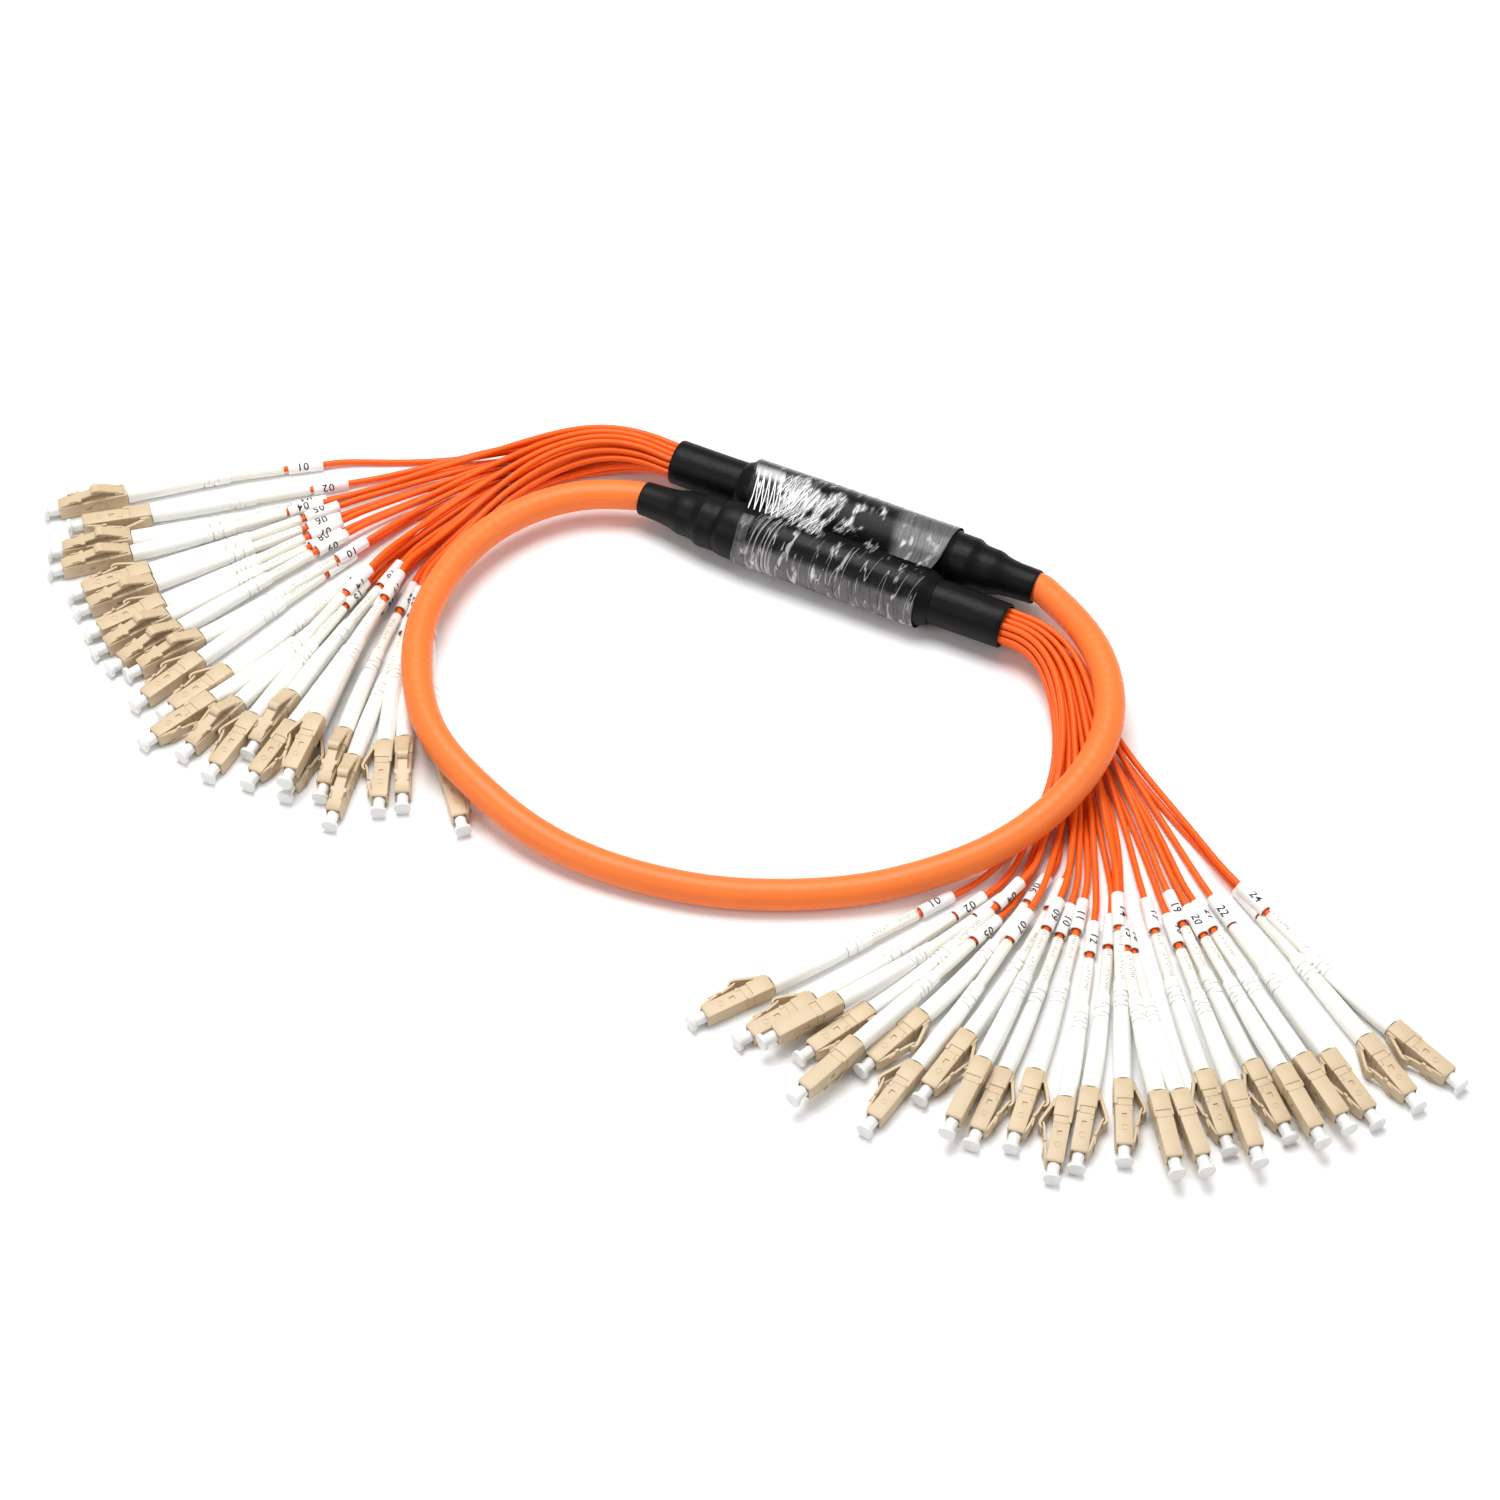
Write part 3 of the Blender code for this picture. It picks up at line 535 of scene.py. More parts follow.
class Finish:
    """A material built around one Principled shader."""

    def __init__(self, name, specular):
        self.material = bpy.data.materials.new(name)
        self.material.use_nodes = True
        self.tree = self.material.node_tree
        self.shader = self.tree.nodes["Principled BSDF"]
        self.shader.inputs["Specular IOR Level"].default_value = specular

    def node(self, kind, settings=None, values=None, out=0):
        """A node of any kind: its settings first, then the numbers or links of its sockets."""
        made = self.tree.nodes.new(kind)
        for name, value in (settings or {}).items():
            if name == "stops":
                self.set_stops(made.color_ramp, value)
            else:
                setattr(made, name, value)
        for name, value in (values or {}).items():
            if isinstance(value, Reading):
                self.tree.links.new(value.socket, made.inputs[name])
            else:
                made.inputs[name].default_value = value
        return Reading(self, made.outputs[out])

    @staticmethod
    def set_stops(ramp, stops):
        while len(ramp.elements) < len(stops):
            ramp.elements.new(0.5)
        for element, (position, colour) in zip(ramp.elements, stops):
            element.position = position
            element.color = colour if hasattr(colour, "__len__") else (colour, colour, colour, 1.0)

    def place(self):
        return self.node("ShaderNodeNewGeometry", out="Position")

    def map(self):
        """Millimetres along the piece, and turns or millimetres round it."""
        both = self.node("ShaderNodeUVMap", {"uv_map": "along_around"})
        return [self.node("ShaderNodeSeparateXYZ", values={0: both}, out=out) for out in (0, 1)]

    def noise(self, scale, where=None, detail=2.0, rough=0.5):
        values = {"Vector": where or self.place(), "Scale": scale, "Detail": detail}
        return self.node("ShaderNodeTexNoise", values={**values, "Roughness": rough})

    def drawn_noise(self, x, y, z=0.0, scale=1.0, detail=2.0):
        """Noise over the piece's own map, so that it can be drawn out along or around."""
        where = self.node("ShaderNodeCombineXYZ", values={0: x, 1: y, 2: z})
        return self.noise(scale, where, detail)

    def ramp(self, amount, *stops):
        return self.node("ShaderNodeValToRGB", {"stops": stops}, {0: amount})

    def between(self, amount, first, second):
        """A colour mixed from two."""
        values = {0: amount, 6: first, 7: second}
        return self.node("ShaderNodeMix", {"data_type": "RGBA"}, values, out=2)

    def shades(self, amount, colour, low, high):
        """Between a darker and a lighter share of one colour."""
        return self.between(amount, tint(colour, low), tint(colour, high))

    def wear(self, bump=None, **varied):
        """Links what varies to the shader's own sockets. A bump is its height, distance and strength."""
        if bump:
            values = dict(zip(("Height", "Distance", "Strength"), bump))
            varied["Normal"] = self.node("ShaderNodeBump", values=values)
        for socket, value in varied.items():
            self.tree.links.new(value.socket, self.shader.inputs[socket.replace("_", " ")])
        return self.material


def tint(colour, share):
    return (*(min(1.0, channel * share) for channel in colour[:3]), 1.0)


def jacket_finish(name, colour, ribs, rib_depth, gloss):
    """Extruded soft jacket: faint ribs of what lies inside, fine drag marks and handling smears."""
    finish = Finish(name, 0.24)
    along, around = finish.map()
    cloud = finish.noise(55.0, detail=3.0)
    smear = finish.noise(420.0, detail=3.0, rough=0.6)
    drawn = finish.drawn_noise(along * 0.06, around * 34.0)
    base = finish.shades(cloud, colour, 0.9, 1.08)
    base = finish.between(drawn * 0.14, base, tint(colour, 1.25))
    rib = ((along * (2 * math.pi / ribs)) + around * (2 * math.pi)).sine()
    height = rib * rib_depth + drawn * 0.25 + smear * 0.3
    rough = smear * 0.16 + (gloss - 0.08) + drawn * 0.05
    return finish.wear((height, 0.00006, 0.8), Base_Color=base, Roughness=rough)


def moulded_finish(name, colour, gloss, grain, depth=0.00002, cloudy=0.05):
    """Injection moulded plastic: an even tone with a very fine grain and slight sink marks."""
    finish = Finish(name, 0.4)
    cloud = finish.noise(140.0)
    fine = finish.noise(grain, detail=3.0, rough=0.65)
    base = finish.shades(cloud, colour, 1 - cloudy, 1 + cloudy * 0.6)
    base = finish.between(fine * 0.10, base, tint(colour, 0.82))
    bump = (fine + cloud * 1.5, depth, 0.6)
    return finish.wear(bump, Base_Color=base, Roughness=fine * 0.14 + (gloss - 0.06))


def tube_finish(name, colour, ticked):
    """Shrunk tube: faint long wrinkles, and on some a row of small plain ticks."""
    finish = Finish(name, 0.4)
    along, around = finish.map()
    wrinkle = finish.drawn_noise(along * 0.35, around * 9.0, detail=3.0)
    fine = finish.noise(1500.0)
    base = finish.shades(wrinkle, colour, 0.955, 1.02)
    if ticked:
        ticks = along * 1.55
        cell = finish.drawn_noise(ticks.step(), (around * 24.0).step(), scale=3.7, detail=0.0)
        stroke = (ticks.part() < 0.42) * (cell > 0.47)
        row = (around > 0.17) * (around < 0.28)
        group = (along * 0.085).part() < 0.72
        base = finish.between(stroke * row * group * 0.75, base, (0.12, 0.12, 0.13, 1.0))
    bump = (wrinkle + fine * 0.2, 0.00008, 0.5)
    return finish.wear(bump, Base_Color=base, Roughness=wrinkle * 0.15 + 0.32)


def shrink_finish(name, colour):
    """Black heat shrink: satin, with a leathery grain, long drag lines and pale rubs."""
    finish = Finish(name, 0.13)
    along, around = finish.map()
    grain = finish.noise(900.0, detail=4.0, rough=0.6)
    slow = finish.noise(95.0, detail=3.0)
    drawn = finish.drawn_noise(along * 0.10, around * 40.0, detail=3.0)
    rub = finish.ramp(finish.noise(260.0, detail=5.0, rough=0.75), (0.62, 0.0), (0.8, 1.0))
    base = finish.shades(slow, colour, 0.75, 1.35)
    base = finish.between(rub * 0.1, base, (0.10, 0.10, 0.105, 1.0))
    bump = (grain * 0.6 + drawn * 0.8 + slow, 0.00016, 0.7)
    return finish.wear(bump, Base_Color=base, Roughness=grain * 0.2 + slow * 0.12 + 0.26)


# Tops of the two sleeves on the film's map, in millimetres round it from below the first sleeve
FILM_CROWN_A = 28.0
FILM_CROWN_B = 45.6


def film_finish(name, colour):
    """Clear stretch film: fans of white creases over the sleeves, their white partly painted highlights,
    and grey where it stands off them, partly painted sheen.
    """
    finish = Finish(name, 0.3)
    along, around = finish.map()
    sway = finish.drawn_noise(along * 0.05, around * 0.06, detail=1.0) - 0.5
    strained = along - (around - FILM_CROWN_B) * 0.3
    leaned = along + (around - 38.0) * 0.12 + sway * 3.0

    def window(value, low, high):
        return (value > low) * (value < high)

    def threads(route, pitch, seed, width):
        """Hair lines where a drawn-out noise crosses its middle value."""
        cloud = finish.drawn_noise(route * pitch, around * 0.03, seed, detail=1.0)
        return finish.ramp((cloud - 0.5).size(), (0.0, 1.0), (width, 0.0))

    clump = finish.drawn_noise(leaned * 0.34, around * 0.13, 4.0)
    # The crease lines crowd on the top of the band, which faces the overhead lamp; their white is partly
    # painted highlight.
    crown = finish.ramp((around - 35.0).size() * 0.05, (0.3, 1.0), (0.62, 0.0))
    early = finish.ramp(along * 0.02, (0.02, 0.0), (0.16, 1.0), (0.46, 0.45), (0.8, 0.05))
    crowd = finish.ramp(clump + crown * early * 0.42, (0.60, 0.0), (0.74, 1.0))
    first = threads(leaned, 1.7, 0.0, 0.075)
    second = threads(along + around * 0.34, 1.2, 5.0, 0.06)
    third = threads(along - around * 0.16, 1.0, 9.0, 0.045)
    creased = first.most(second).most(third) * crowd
    tooth = ((strained * 0.55).part() - 0.5).size() - (43.5 - around) * (0.5 / 15.0)
    teeth = finish.ramp(tooth.size(), (0.05, 1.0), (0.13, 0.0)) * window(around, FILM_CROWN_A, 43.5)
    knot = finish.ramp((around - 28.5).size() * 0.25, (0.2, 1.0), (0.75, 0.0))
    start = teeth.most(knot * (clump + 0.25)) * window(strained, 0.8, 10.0)
    bowed = along - (around - 56.0) * (around - 56.0) * 0.012
    hoops = threads(bowed, 0.3, 17.0, 0.014) * (clump > 0.44)
    crowded_hoops = threads(bowed, 1.5, 23.0, 0.07) * window(along, 4.5, 12.5)
    arcs = hoops.most(crowded_hoops) * window(around, 44.0, 68.0)
    # White of the creases, the start's teeth and the arcs: partly whitened film, partly painted
    # highlights.
    white = creased.most(start).most(arcs * 0.6)

    # Grey bands on the near sleeve's lower side, at the start and end, and on the far sleeve's back:
    # partly film standing off the sleeves, partly painted sheen.
    near = finish.ramp(around * 0.01, (0.53, 0.0), (0.55, 1.0), (0.70, 1.0), (0.72, 0.0)) * 0.7
    patch = window(around, 46.0, 60.0) * (along < 3.6) * 0.45
    ending = finish.ramp(strained * 0.01, (0.44, 0.0), (0.475, 1.0)) * window(around, 23.0, 42.0) * 0.66
    back = finish.ramp(around * 0.01, (0.215, 1.0), (0.26, 0.25), (0.285, 0.0))
    front = window(strained, 0.0, 10.0) * window(around, 20.0, 29.0) * 0.5
    grey_haze_and_sheen = near.most(patch).most(ending).most(back).most(front)
    grey_haze_and_sheen = grey_haze_and_sheen * (clump * 0.5 + 0.75) * (1.0 - third * 0.3)
    # Near black where the film is clear, grey in the bands of haze and painted sheen, white on the
    # creases with their painted highlights.
    base = finish.between(white, finish.shades(grey_haze_and_sheen, colour, 0.006, 0.19), tint(colour, 1.0))
    alpha = (white * 0.95).most(grey_haze_and_sheen * 1.4).most(0.1)
    bump = (white * 0.5 + clump * 2.0, 0.0002, 0.35)
    return finish.wear(bump, Base_Color=base, Alpha=alpha, Roughness=clump * 0.1 + 0.2)


def floor_finish(name, colour):
    finish = Finish(name, 0.2)
    mottle = finish.noise(18.0, detail=3.0)
    base = finish.shades(mottle, colour, 0.995, 1.0)
    return finish.wear(Base_Color=base, Roughness=mottle * 0.1 + 0.6)


@functools.cache
def finish_of(name):
    """Each finish is made once, from the colours in the panel."""
    colours = bpy.context.scene.patch_cord_colours
    make, *values = {
        "trunk_jacket": (jacket_finish, colours.trunk, 3.4, 0.6, 0.36),
        "lead_jacket": (jacket_finish, colours.lead, 2.2, 0.15, 0.34),
        "shrink_black": (shrink_finish, colours.sleeve),
        "potting_black": (moulded_finish, colours.sleeve, 0.4, 700.0, 0.0003, 0.2),
        "clear_film": (film_finish, (0.93, 0.94, 0.95)),
        "label_white": (moulded_finish, colours.label, 0.3, 1500.0),
        "label_ink": (moulded_finish, (0.012, 0.012, 0.014), 0.5, 2400.0),
        "tube_plain": (tube_finish, colours.tube, False),
        "tube_ticked": (tube_finish, colours.tube, True),
        "boot_white": (moulded_finish, colours.boot, 0.42, 1700.0, 0.00002, 0.02),
        "housing_beige": (moulded_finish, colours.housing, 0.4, 2300.0),
        "cap_white": (moulded_finish, (0.80, 0.795, 0.775), 0.28, 1500.0, 0.00002, 0.02),
        "floor_white": (floor_finish, (0.93, 0.93, 0.93)),
    }[name]
    return make(name, *values)


# The connector: every number is in millimetres, X goes to the nose and Z to the latch


def box(low, high, bevel=0.0, shape=None):
    """A box between two corners, with every edge rounded by the bevel."""
    shape = shape or Shape()
    low, high = (Vector([value * MM for value in corner]) for corner in (low, high))
    form = bmesh.new()
    size = Matrix.Diagonal((*(high - low), 1.0))
    bmesh.ops.create_cube(form, size=1.0, matrix=Matrix.Translation((low + high) / 2) @ size)
    if bevel:
        edges = form.edges[:]
        bmesh.ops.bevel(form, geom=edges, offset=bevel * MM, segments=2, affect="EDGES", profile=0.5)
    form.verts.index_update()
    shape.add([v.co[:] for v in form.verts], [[v.index for v in f.verts] for f in form.faces])
    form.free()
    return shape


def square_bar(shape, sections, corner, steps=3):
    """A square bar along X with round long edges, through sections of x and half width."""
    rows = []
    for x, half in sections:
        flat = half - corner
        row = []
        for quarter, (across, up) in enumerate(((1, 1), (-1, 1), (-1, -1), (1, -1))):
            for k in range(steps + 1):
                angle = math.radians(90 * quarter + 90 * k / steps)
                y = across * flat + corner * math.cos(angle)
                row.append((x, y, up * flat + corner * math.sin(angle)))
        rows.append(row)
    shape.loft(np.array(rows) * MM)


def sprung_bar(shape, stations, chamfer):
    """A thin bar along a bent line in the XZ plane, from x, z, half width and half thickness."""
    line = np.array(stations)[:, :2]
    rows = []
    for k, (x, z, wide, thick) in enumerate(stations):
        run = line[min(k + 1, len(line) - 1)] - line[max(k - 1, 0)]
        run = run / np.linalg.norm(run)
        cut = min(chamfer, thick * 0.6)
        outline = (
            (wide - cut, thick), (-wide + cut, thick), (-wide, thick - cut), (-wide, -thick + cut),
            (-wide + cut, -thick), (wide - cut, -thick), (wide, -thick + cut), (wide, thick - cut),
        )
        rows.append([(x - run[1] * up, across, z + run[0] * up) for across, up in outline])
    shape.loft(np.array(rows) * MM)


def mark_ring(x, y, z, outer, inner, depth):
    """A shallow ring to cut into a side of the housing."""
    angles = np.arange(24) * 2 * math.pi / 24
    rows = [
        np.column_stack([x + r * np.cos(angles), np.full(24, y + side), z + r * np.sin(angles)])
        for r, side in ((inner, depth), (outer, depth), (outer, -depth), (inner, -depth))
    ]
    ring = Shape()
    ring.loft(np.array(rows) * MM, ring=True, ends=False)
    return ring


def cut_from(blank, cutters):
    """The blank with each cutter taken away, as a new mesh. The helpers are removed."""
    holder = placed("housing_blank", blank.mesh("housing_blank"))
    spare = [holder]
    for k, cutter in enumerate(cutters):
        tool = placed(f"cutter_{k}", cutter.mesh(f"cutter_{k}"))
        cut = holder.modifiers.new(f"cut_{k}", "BOOLEAN")
        cut.operation = "DIFFERENCE"
        cut.solver = "EXACT"
        cut.object = tool
        spare.append(tool)
    made = evaluated_mesh(holder)
    for old in spare:
        bpy.data.objects.remove(old, do_unlink=True)
    return made


def housing_body():
    """Front body with the cross line, side windows, corner grooves, round marks and open nose cut in."""
    blank = Shape()
    half, line = 2.26, 2.15
    square_bar(blank, (
        (5.9, half), (8.18, half), (8.2, line), (8.34, line), (8.36, half), (12.0, half),
        (16.0, half), (19.55, half), (19.8, 2.16), (20.0, 1.96),
    ), 0.24)
    window = (10.7, -0.55), (12.3, 0.7), 0.32
    grooves = ((8.3, 1.25), (10.0, 1.4), 0.13), ((9.86, 1.3), (10.0, 2.4), 0.13)
    cutters = []
    for wall in (-half, half):
        for low, high, depth in (window, *grooves):
            cutters.append(box((low[0], wall - depth, low[1]), (high[0], wall + depth, high[1])))
        cutters.append(mark_ring(15.0, wall, 0.1, 0.86, 0.7, 0.1))
    cutters.append(box((19.4, -1.75, -1.75), (20.6, 1.75, 1.75)))
    return cut_from(blank, cutters)


@functools.cache
def connector_mesh():
    """Housing, latch, trigger and dust cap, shared by all connectors."""
    shape = Shape()
    body = housing_body()
    shape.add([v.co[:] for v in body.vertices], [list(p.vertices) for p in body.polygons])
    square_bar(shape, (
        (0.0, 2.3), (0.18, 2.46), (0.45, 2.55), (3.2, 2.55), (5.95, 2.55), (6.12, 2.5), (6.2, 2.36),
    ), 0.42)
    cheek = (5.6, 2.0, -2.5), (7.9, 2.52, -1.55), 0.12
    hinge = (0.7, 1.4, 2.1), (3.4, 2.0, 3.2), 0.25
    ear = (14.6, 1.45, 3.35), (16.9, 1.85, 3.72), 0.1
    for low, high, bevel in (cheek, hinge, ear):
        for side in (-1, 1):
            near, far = sorted((side * low[1], side * high[1]))
            box((low[0], near, low[2]), (high[0], far, high[2]), bevel, shape)
    sprung_bar(shape, (
        (19.75, 1.98, 1.85, 0.26), (19.2, 2.3, 1.9, 0.34), (17.4, 2.72, 1.9, 0.36),
        (15.0, 3.14, 1.9, 0.36), (14.35, 3.25, 1.9, 0.36), (14.3, 3.26, 2.28, 0.36),
        (13.2, 3.46, 2.28, 0.36), (13.15, 3.47, 1.42, 0.36), (11.2, 3.86, 1.38, 0.36),
        (9.6, 4.22, 1.34, 0.34), (8.6, 4.52, 1.3, 0.3), (8.1, 4.72, 1.24, 0.22),
    ), 0.1)
    sprung_bar(shape, (
        (0.75, 2.3, 1.68, 0.4), (1.6, 2.76, 1.7, 0.44), (3.0, 3.34, 1.7, 0.44), (5.0, 4.18, 1.7, 0.43),
        (7.0, 5.0, 1.7, 0.42), (8.2, 5.42, 1.66, 0.4), (8.9, 5.5, 1.6, 0.38), (9.45, 5.3, 1.54, 0.34),
        (9.8, 4.96, 1.46, 0.28), (9.95, 4.66, 1.4, 0.2),
    ), 0.12)
    for k in range(7):
        x = 2.9 + 0.78 * k
        z = 3.76 + (x - 3.0) * 0.418
        box((x - 0.16, -1.5, z - 0.25), (x + 0.16, 1.5, z + 0.17), 0.12, shape)
    cap = (
        (19.5, 1.6), (19.95, 1.6), (20.1, 1.66), (20.25, 1.6), (22.7, 1.5), (23.05, 1.58),
        (23.25, 1.8), (23.36, 2.15), (23.44, 2.29), (23.6, 2.35), (24.22, 2.35), (24.38, 2.3),
        (24.47, 2.18), (24.5, 1.95), (24.44, 1.5), (24.4, 0.6),
    )
    axis = ((0.0, 0.0, 0.0), (30 * MM, 0.0, 0.0))
    skin(axis, [(x * MM, radius * MM) for x, radius in cap], 32, shape=shape, finish=1)
    return shape.mesh("connector_mesh", ("housing_beige", "cap_white"), 28)


# Numbers on the sleeves


# Share of a font's size that its digits fill, and strips that a digit is cut into so that it bends
DIGIT_SHARE = 0.72
STRIPS = 8


@functools.cache
def number_shape(number, height):
    """A plain two digit number as a thin slab in the XY plane, cut into strips so that it can bend."""
    text = bpy.data.curves.new("number", "FONT")
    text.body = f"{number:02d}"
    text.size = height / DIGIT_SHARE
    text.align_x = "CENTER"
    text.align_y = "CENTER"
    text.resolution_u = 3
    text.extrude = 0.03 * MM
    text.offset = 0.035 * MM
    text.space_character = 1.12
    holder = placed("number", text)
    mesh = evaluated_mesh(holder)
    bpy.data.objects.remove(holder, do_unlink=True)
    form = bmesh.new()
    form.from_mesh(mesh)
    bmesh.ops.remove_doubles(form, verts=form.verts, dist=0.0005 * MM)
    for k in range(STRIPS + 1):
        geometry = form.verts[:] + form.edges[:] + form.faces[:]
        cut = (0, (k / STRIPS - 0.5) * height, 0)
        bmesh.ops.bisect_plane(form, geom=geometry, dist=1e-7, plane_co=cut, plane_no=(0, 1, 0))
    bmesh.ops.triangulate(form, faces=form.faces[:])
    bmesh.ops.recalc_face_normals(form, faces=form.faces[:])
    points = np.array([v.co[:] for v in form.verts])
    faces = [[v.index for v in f.verts] for f in form.faces]
    form.free()
    bpy.data.meshes.remove(mesh)
    return points, faces


def wrap_number(shape, route, station, radius, angle, number, height):
    """Lays a number round a sleeve, reading towards the connector."""
    points, faces = number_shape(number, height)
    place, left, up = frames_along(route, station + points[:, 0])
    turn = angle - points[:, 1] / radius
    out = np.cos(turn)[:, None] * left + np.sin(turn)[:, None] * up
    shape.add(place + out * (radius + points[:, 2])[:, None], faces, finish=1)


# Sleeves and film


def ripples(seed, depth):
    """Slow dents and short shrink wrinkles, from a few waves that never line up."""

    def swell(station, angle):
        s = station / MM
        slow = np.sin(s / 6.1 + seed) * np.cos(2 * angle + seed * 1.7 + s / 17)
        ridge = np.sin(s / 2.3 + 2 * np.sin(angle + seed)) * np.sin(3 * angle + s / 9 + seed)
        short = np.sin(s / 0.9 + 3 * angle + seed) * np.sin(s / 5.3 + 2 * seed)
        return depth * (0.55 * slow + 0.3 * ridge + 0.12 * short)

    return swell


def sleeve_route(side):
    """Straight line from a sleeve's lead mouth to its trunk end."""
    mouth, heading = MOUTHS[side]
    start = np.array(mouth) * MM
    end = start - unit(heading) * SLEEVE_LENGTH
    return np.array([(*place, SLEEVE_AXIS_HEIGHT) for place in (start, end)]) + np.array(SHIFT)


def sleeve_layers():
    """The three shrunk layers: name, profile in millimetres and depth of the dents."""
    bore = mouth_bore_radius() / MM
    outer = bore + SLEEVE_WALL / MM
    collar = [
        (7.9, 0.3), (7.9, bore), (4.0, bore), (0.25, bore), (0.0, bore + 0.2), (0.05, bore + 0.5),
        (0.4, outer - 0.02), *((s, outer) for s in np.arange(1.5, 22.0, 1.2)),
        (24.0, outer), (24.2, 0.3),
    ]
    body = [
        (22.2, 6.5), (21.9, 6.62), (21.8, 6.85), (22.0, 7.05), (23.0, 7.5), (24.2, 8.05), (25.3, 8.42),
        *((s, 8.58 + 0.04 * math.sin(s / 4.0)) for s in np.arange(26.0, 85.5, 0.9)),
        (86.3, 8.55), (87.6, 8.42), (88.6, 8.2), (89.3, 7.9), (89.6, 7.5), (89.5, 7.1), (89.0, 6.4),
    ]
    trunk_end = [
        (84.0, 6.6), (88.0, 7.3), (89.2, 7.75), (90.2, 7.95),
        *((s, 7.96 + 0.03 * math.sin(s)) for s in np.arange(91.0, 94.8, 0.6)),
        (95.4, 7.8), (96.2, 7.35), (97.2, 6.95), (98.4, 6.8),
        *((s, 6.75 - 0.03 * (s - 99)) for s in np.arange(99.2, 102.2, 0.6)),
        (103.0, 6.35), (104.0, 5.95), (105.2, 5.65), (107.0, 5.4), (109.0, 5.22), (111.0, 5.12),
        (113.0, 5.05), (114.3, 5.02), (114.8, 4.98), (115.0, 4.85), (114.95, 4.66), (114.0, 4.6),
        (110.0, 4.6), (107.0, 4.6),
    ]
    return (("mouth_collar", collar, 0.1), ("sleeve_body", body, 0.13), ("trunk_end", trunk_end, 0.12))


def film_sheet(rows=150, columns=112):
    """The film as a closed band: taut round the outsides, creased and dipped between the sleeves."""
    along = unit(MOUTHS["b"][1])
    back = np.array([-along[1], along[0]])
    base = np.dot(np.array(MOUTHS["a"][0]) * MM, along)
    far, near = (np.dot(np.array(MOUTHS[side][0]) * MM, back) for side in ("a", "b"))
    radius = SLEEVE_BODY_DIAMETER / 2 + FILM_STAND
    gap, arc = far - near, math.pi * radius
    whole = 2 * arc + 2 * gap
    around = np.arange(columns) / columns * whole
    knots = np.cumsum([0.0, arc, gap, arc, gap])
    angle = np.interp(around, knots, np.radians((-90, 90, 90, 270, 270)))
    middle = np.interp(around, knots, (far, far, near, near, far))
    crossed = np.clip((around - arc) / gap, 0.0, 1.0)
    dip = FILM_DIP * np.sin(math.pi * crossed) ** 2
    mm = around / MM
    ragged = 0.3 * np.sin(mm / 5.0) + 0.2 * np.sin(mm / 1.9 + 1)
    first = FILM_START - (FILM_EARLY * (1 - crossed) + ragged * MM)
    last = FILM_START + FILM_LENGTH + 0.5 * np.sin(mm / 11.0) * MM
    t = first + (last - first) * np.linspace(0.0, 1.0, rows)[:, None]
    s = t / MM
    fold = np.abs(np.sin(s / 1.15 + 1.6 * np.sin(mm / 9.0) + 0.6 * np.sin(s / 7.0)))
    fold += 0.6 * np.abs(np.sin(s / 0.63 + mm / 21.0))
    lift = 0.5 + 0.5 * np.sin(s / 8.5 + mm / 13.0)
    crest = radius + (0.05 + 0.17 * fold * lift) * MM
    height = SLEEVE_AXIS_HEIGHT + crest * np.sin(angle) - dip * (0.7 + 0.3 * lift)
    height = np.maximum(height, FILM_FLOOR_GAP + abs(SHIFT.z))
    side = (middle + crest * np.cos(angle))[..., None]
    flat = along * (base + t)[..., None] + back * side
    grid = np.concatenate([flat, height[..., None]], axis=2) + np.array(SHIFT)
    shape = Shape()
    shape.loft(grid, along=(t - FILM_START) / MM, around=whole / MM, ends=False)
    return shape


# Sizes and colours that a user would change


def length_property(name, words, default):
    return bpy.props.FloatProperty(name=name, description=words, default=default, unit="LENGTH")


class CordSizes(bpy.types.PropertyGroup):
    label_diameter: length_property("Number sleeve diameter", "Outside of the number sleeve", 0.0036)
    label_length: length_property("Number sleeve length", "Length of the number sleeve", 0.0104)
    digit_height: length_property("Digit height", "Height of the plain digits", 0.0024)
    slit_depth: length_property("Boot slit depth", "Depth of the flexing slits in a boot", 0.00042)
    film_thickness: length_property("Film thickness", "Thickness of the clear film", 0.00004)


def colour_property(name, words, default):
    return bpy.props.FloatVectorProperty(
        name=name, description=words, default=default, subtype="COLOR", size=3, min=0.0, max=1.0,
    )


class CordColours(bpy.types.PropertyGroup):
    trunk: colour_property("Trunk", "Jacket of the armoured trunk", (0.90, 0.195, 0.040))
    lead: colour_property("Leads", "Jacket of the thin leads", (0.90, 0.120, 0.008))
    sleeve: colour_property("Shrink sleeves", "Black heat shrink", (0.0045, 0.0045, 0.005))
    label: colour_property("Number sleeves", "Soft white number sleeve", (0.88, 0.85, 0.83))
    tube: colour_property("Shrink tubes", "Cream shrink tube", (0.86, 0.82, 0.74))
    boot: colour_property("Boots", "White boot", (0.89, 0.88, 0.83))
    housing: colour_property("Housings", "Beige connector plastic", (0.60, 0.465, 0.300))


# Steps

FOCAL_LENGTH = 85.0
CAMERA_PLACE = (0.0, -0.63315, 0.75455)
CAMERA_TILT = 40.0
FLOOR_REACH = 3.0
SKY = 0.32
LIGHTS = (
    ("overhead", (-0.12, 0.40, 1.30), 1.0, 20.0),
    ("left_fill", (-1.2, -0.6, 0.9), 0.9, 6.0),
    ("right_fill", (1.2, -0.3, 0.9), 0.9, 5.0),
)


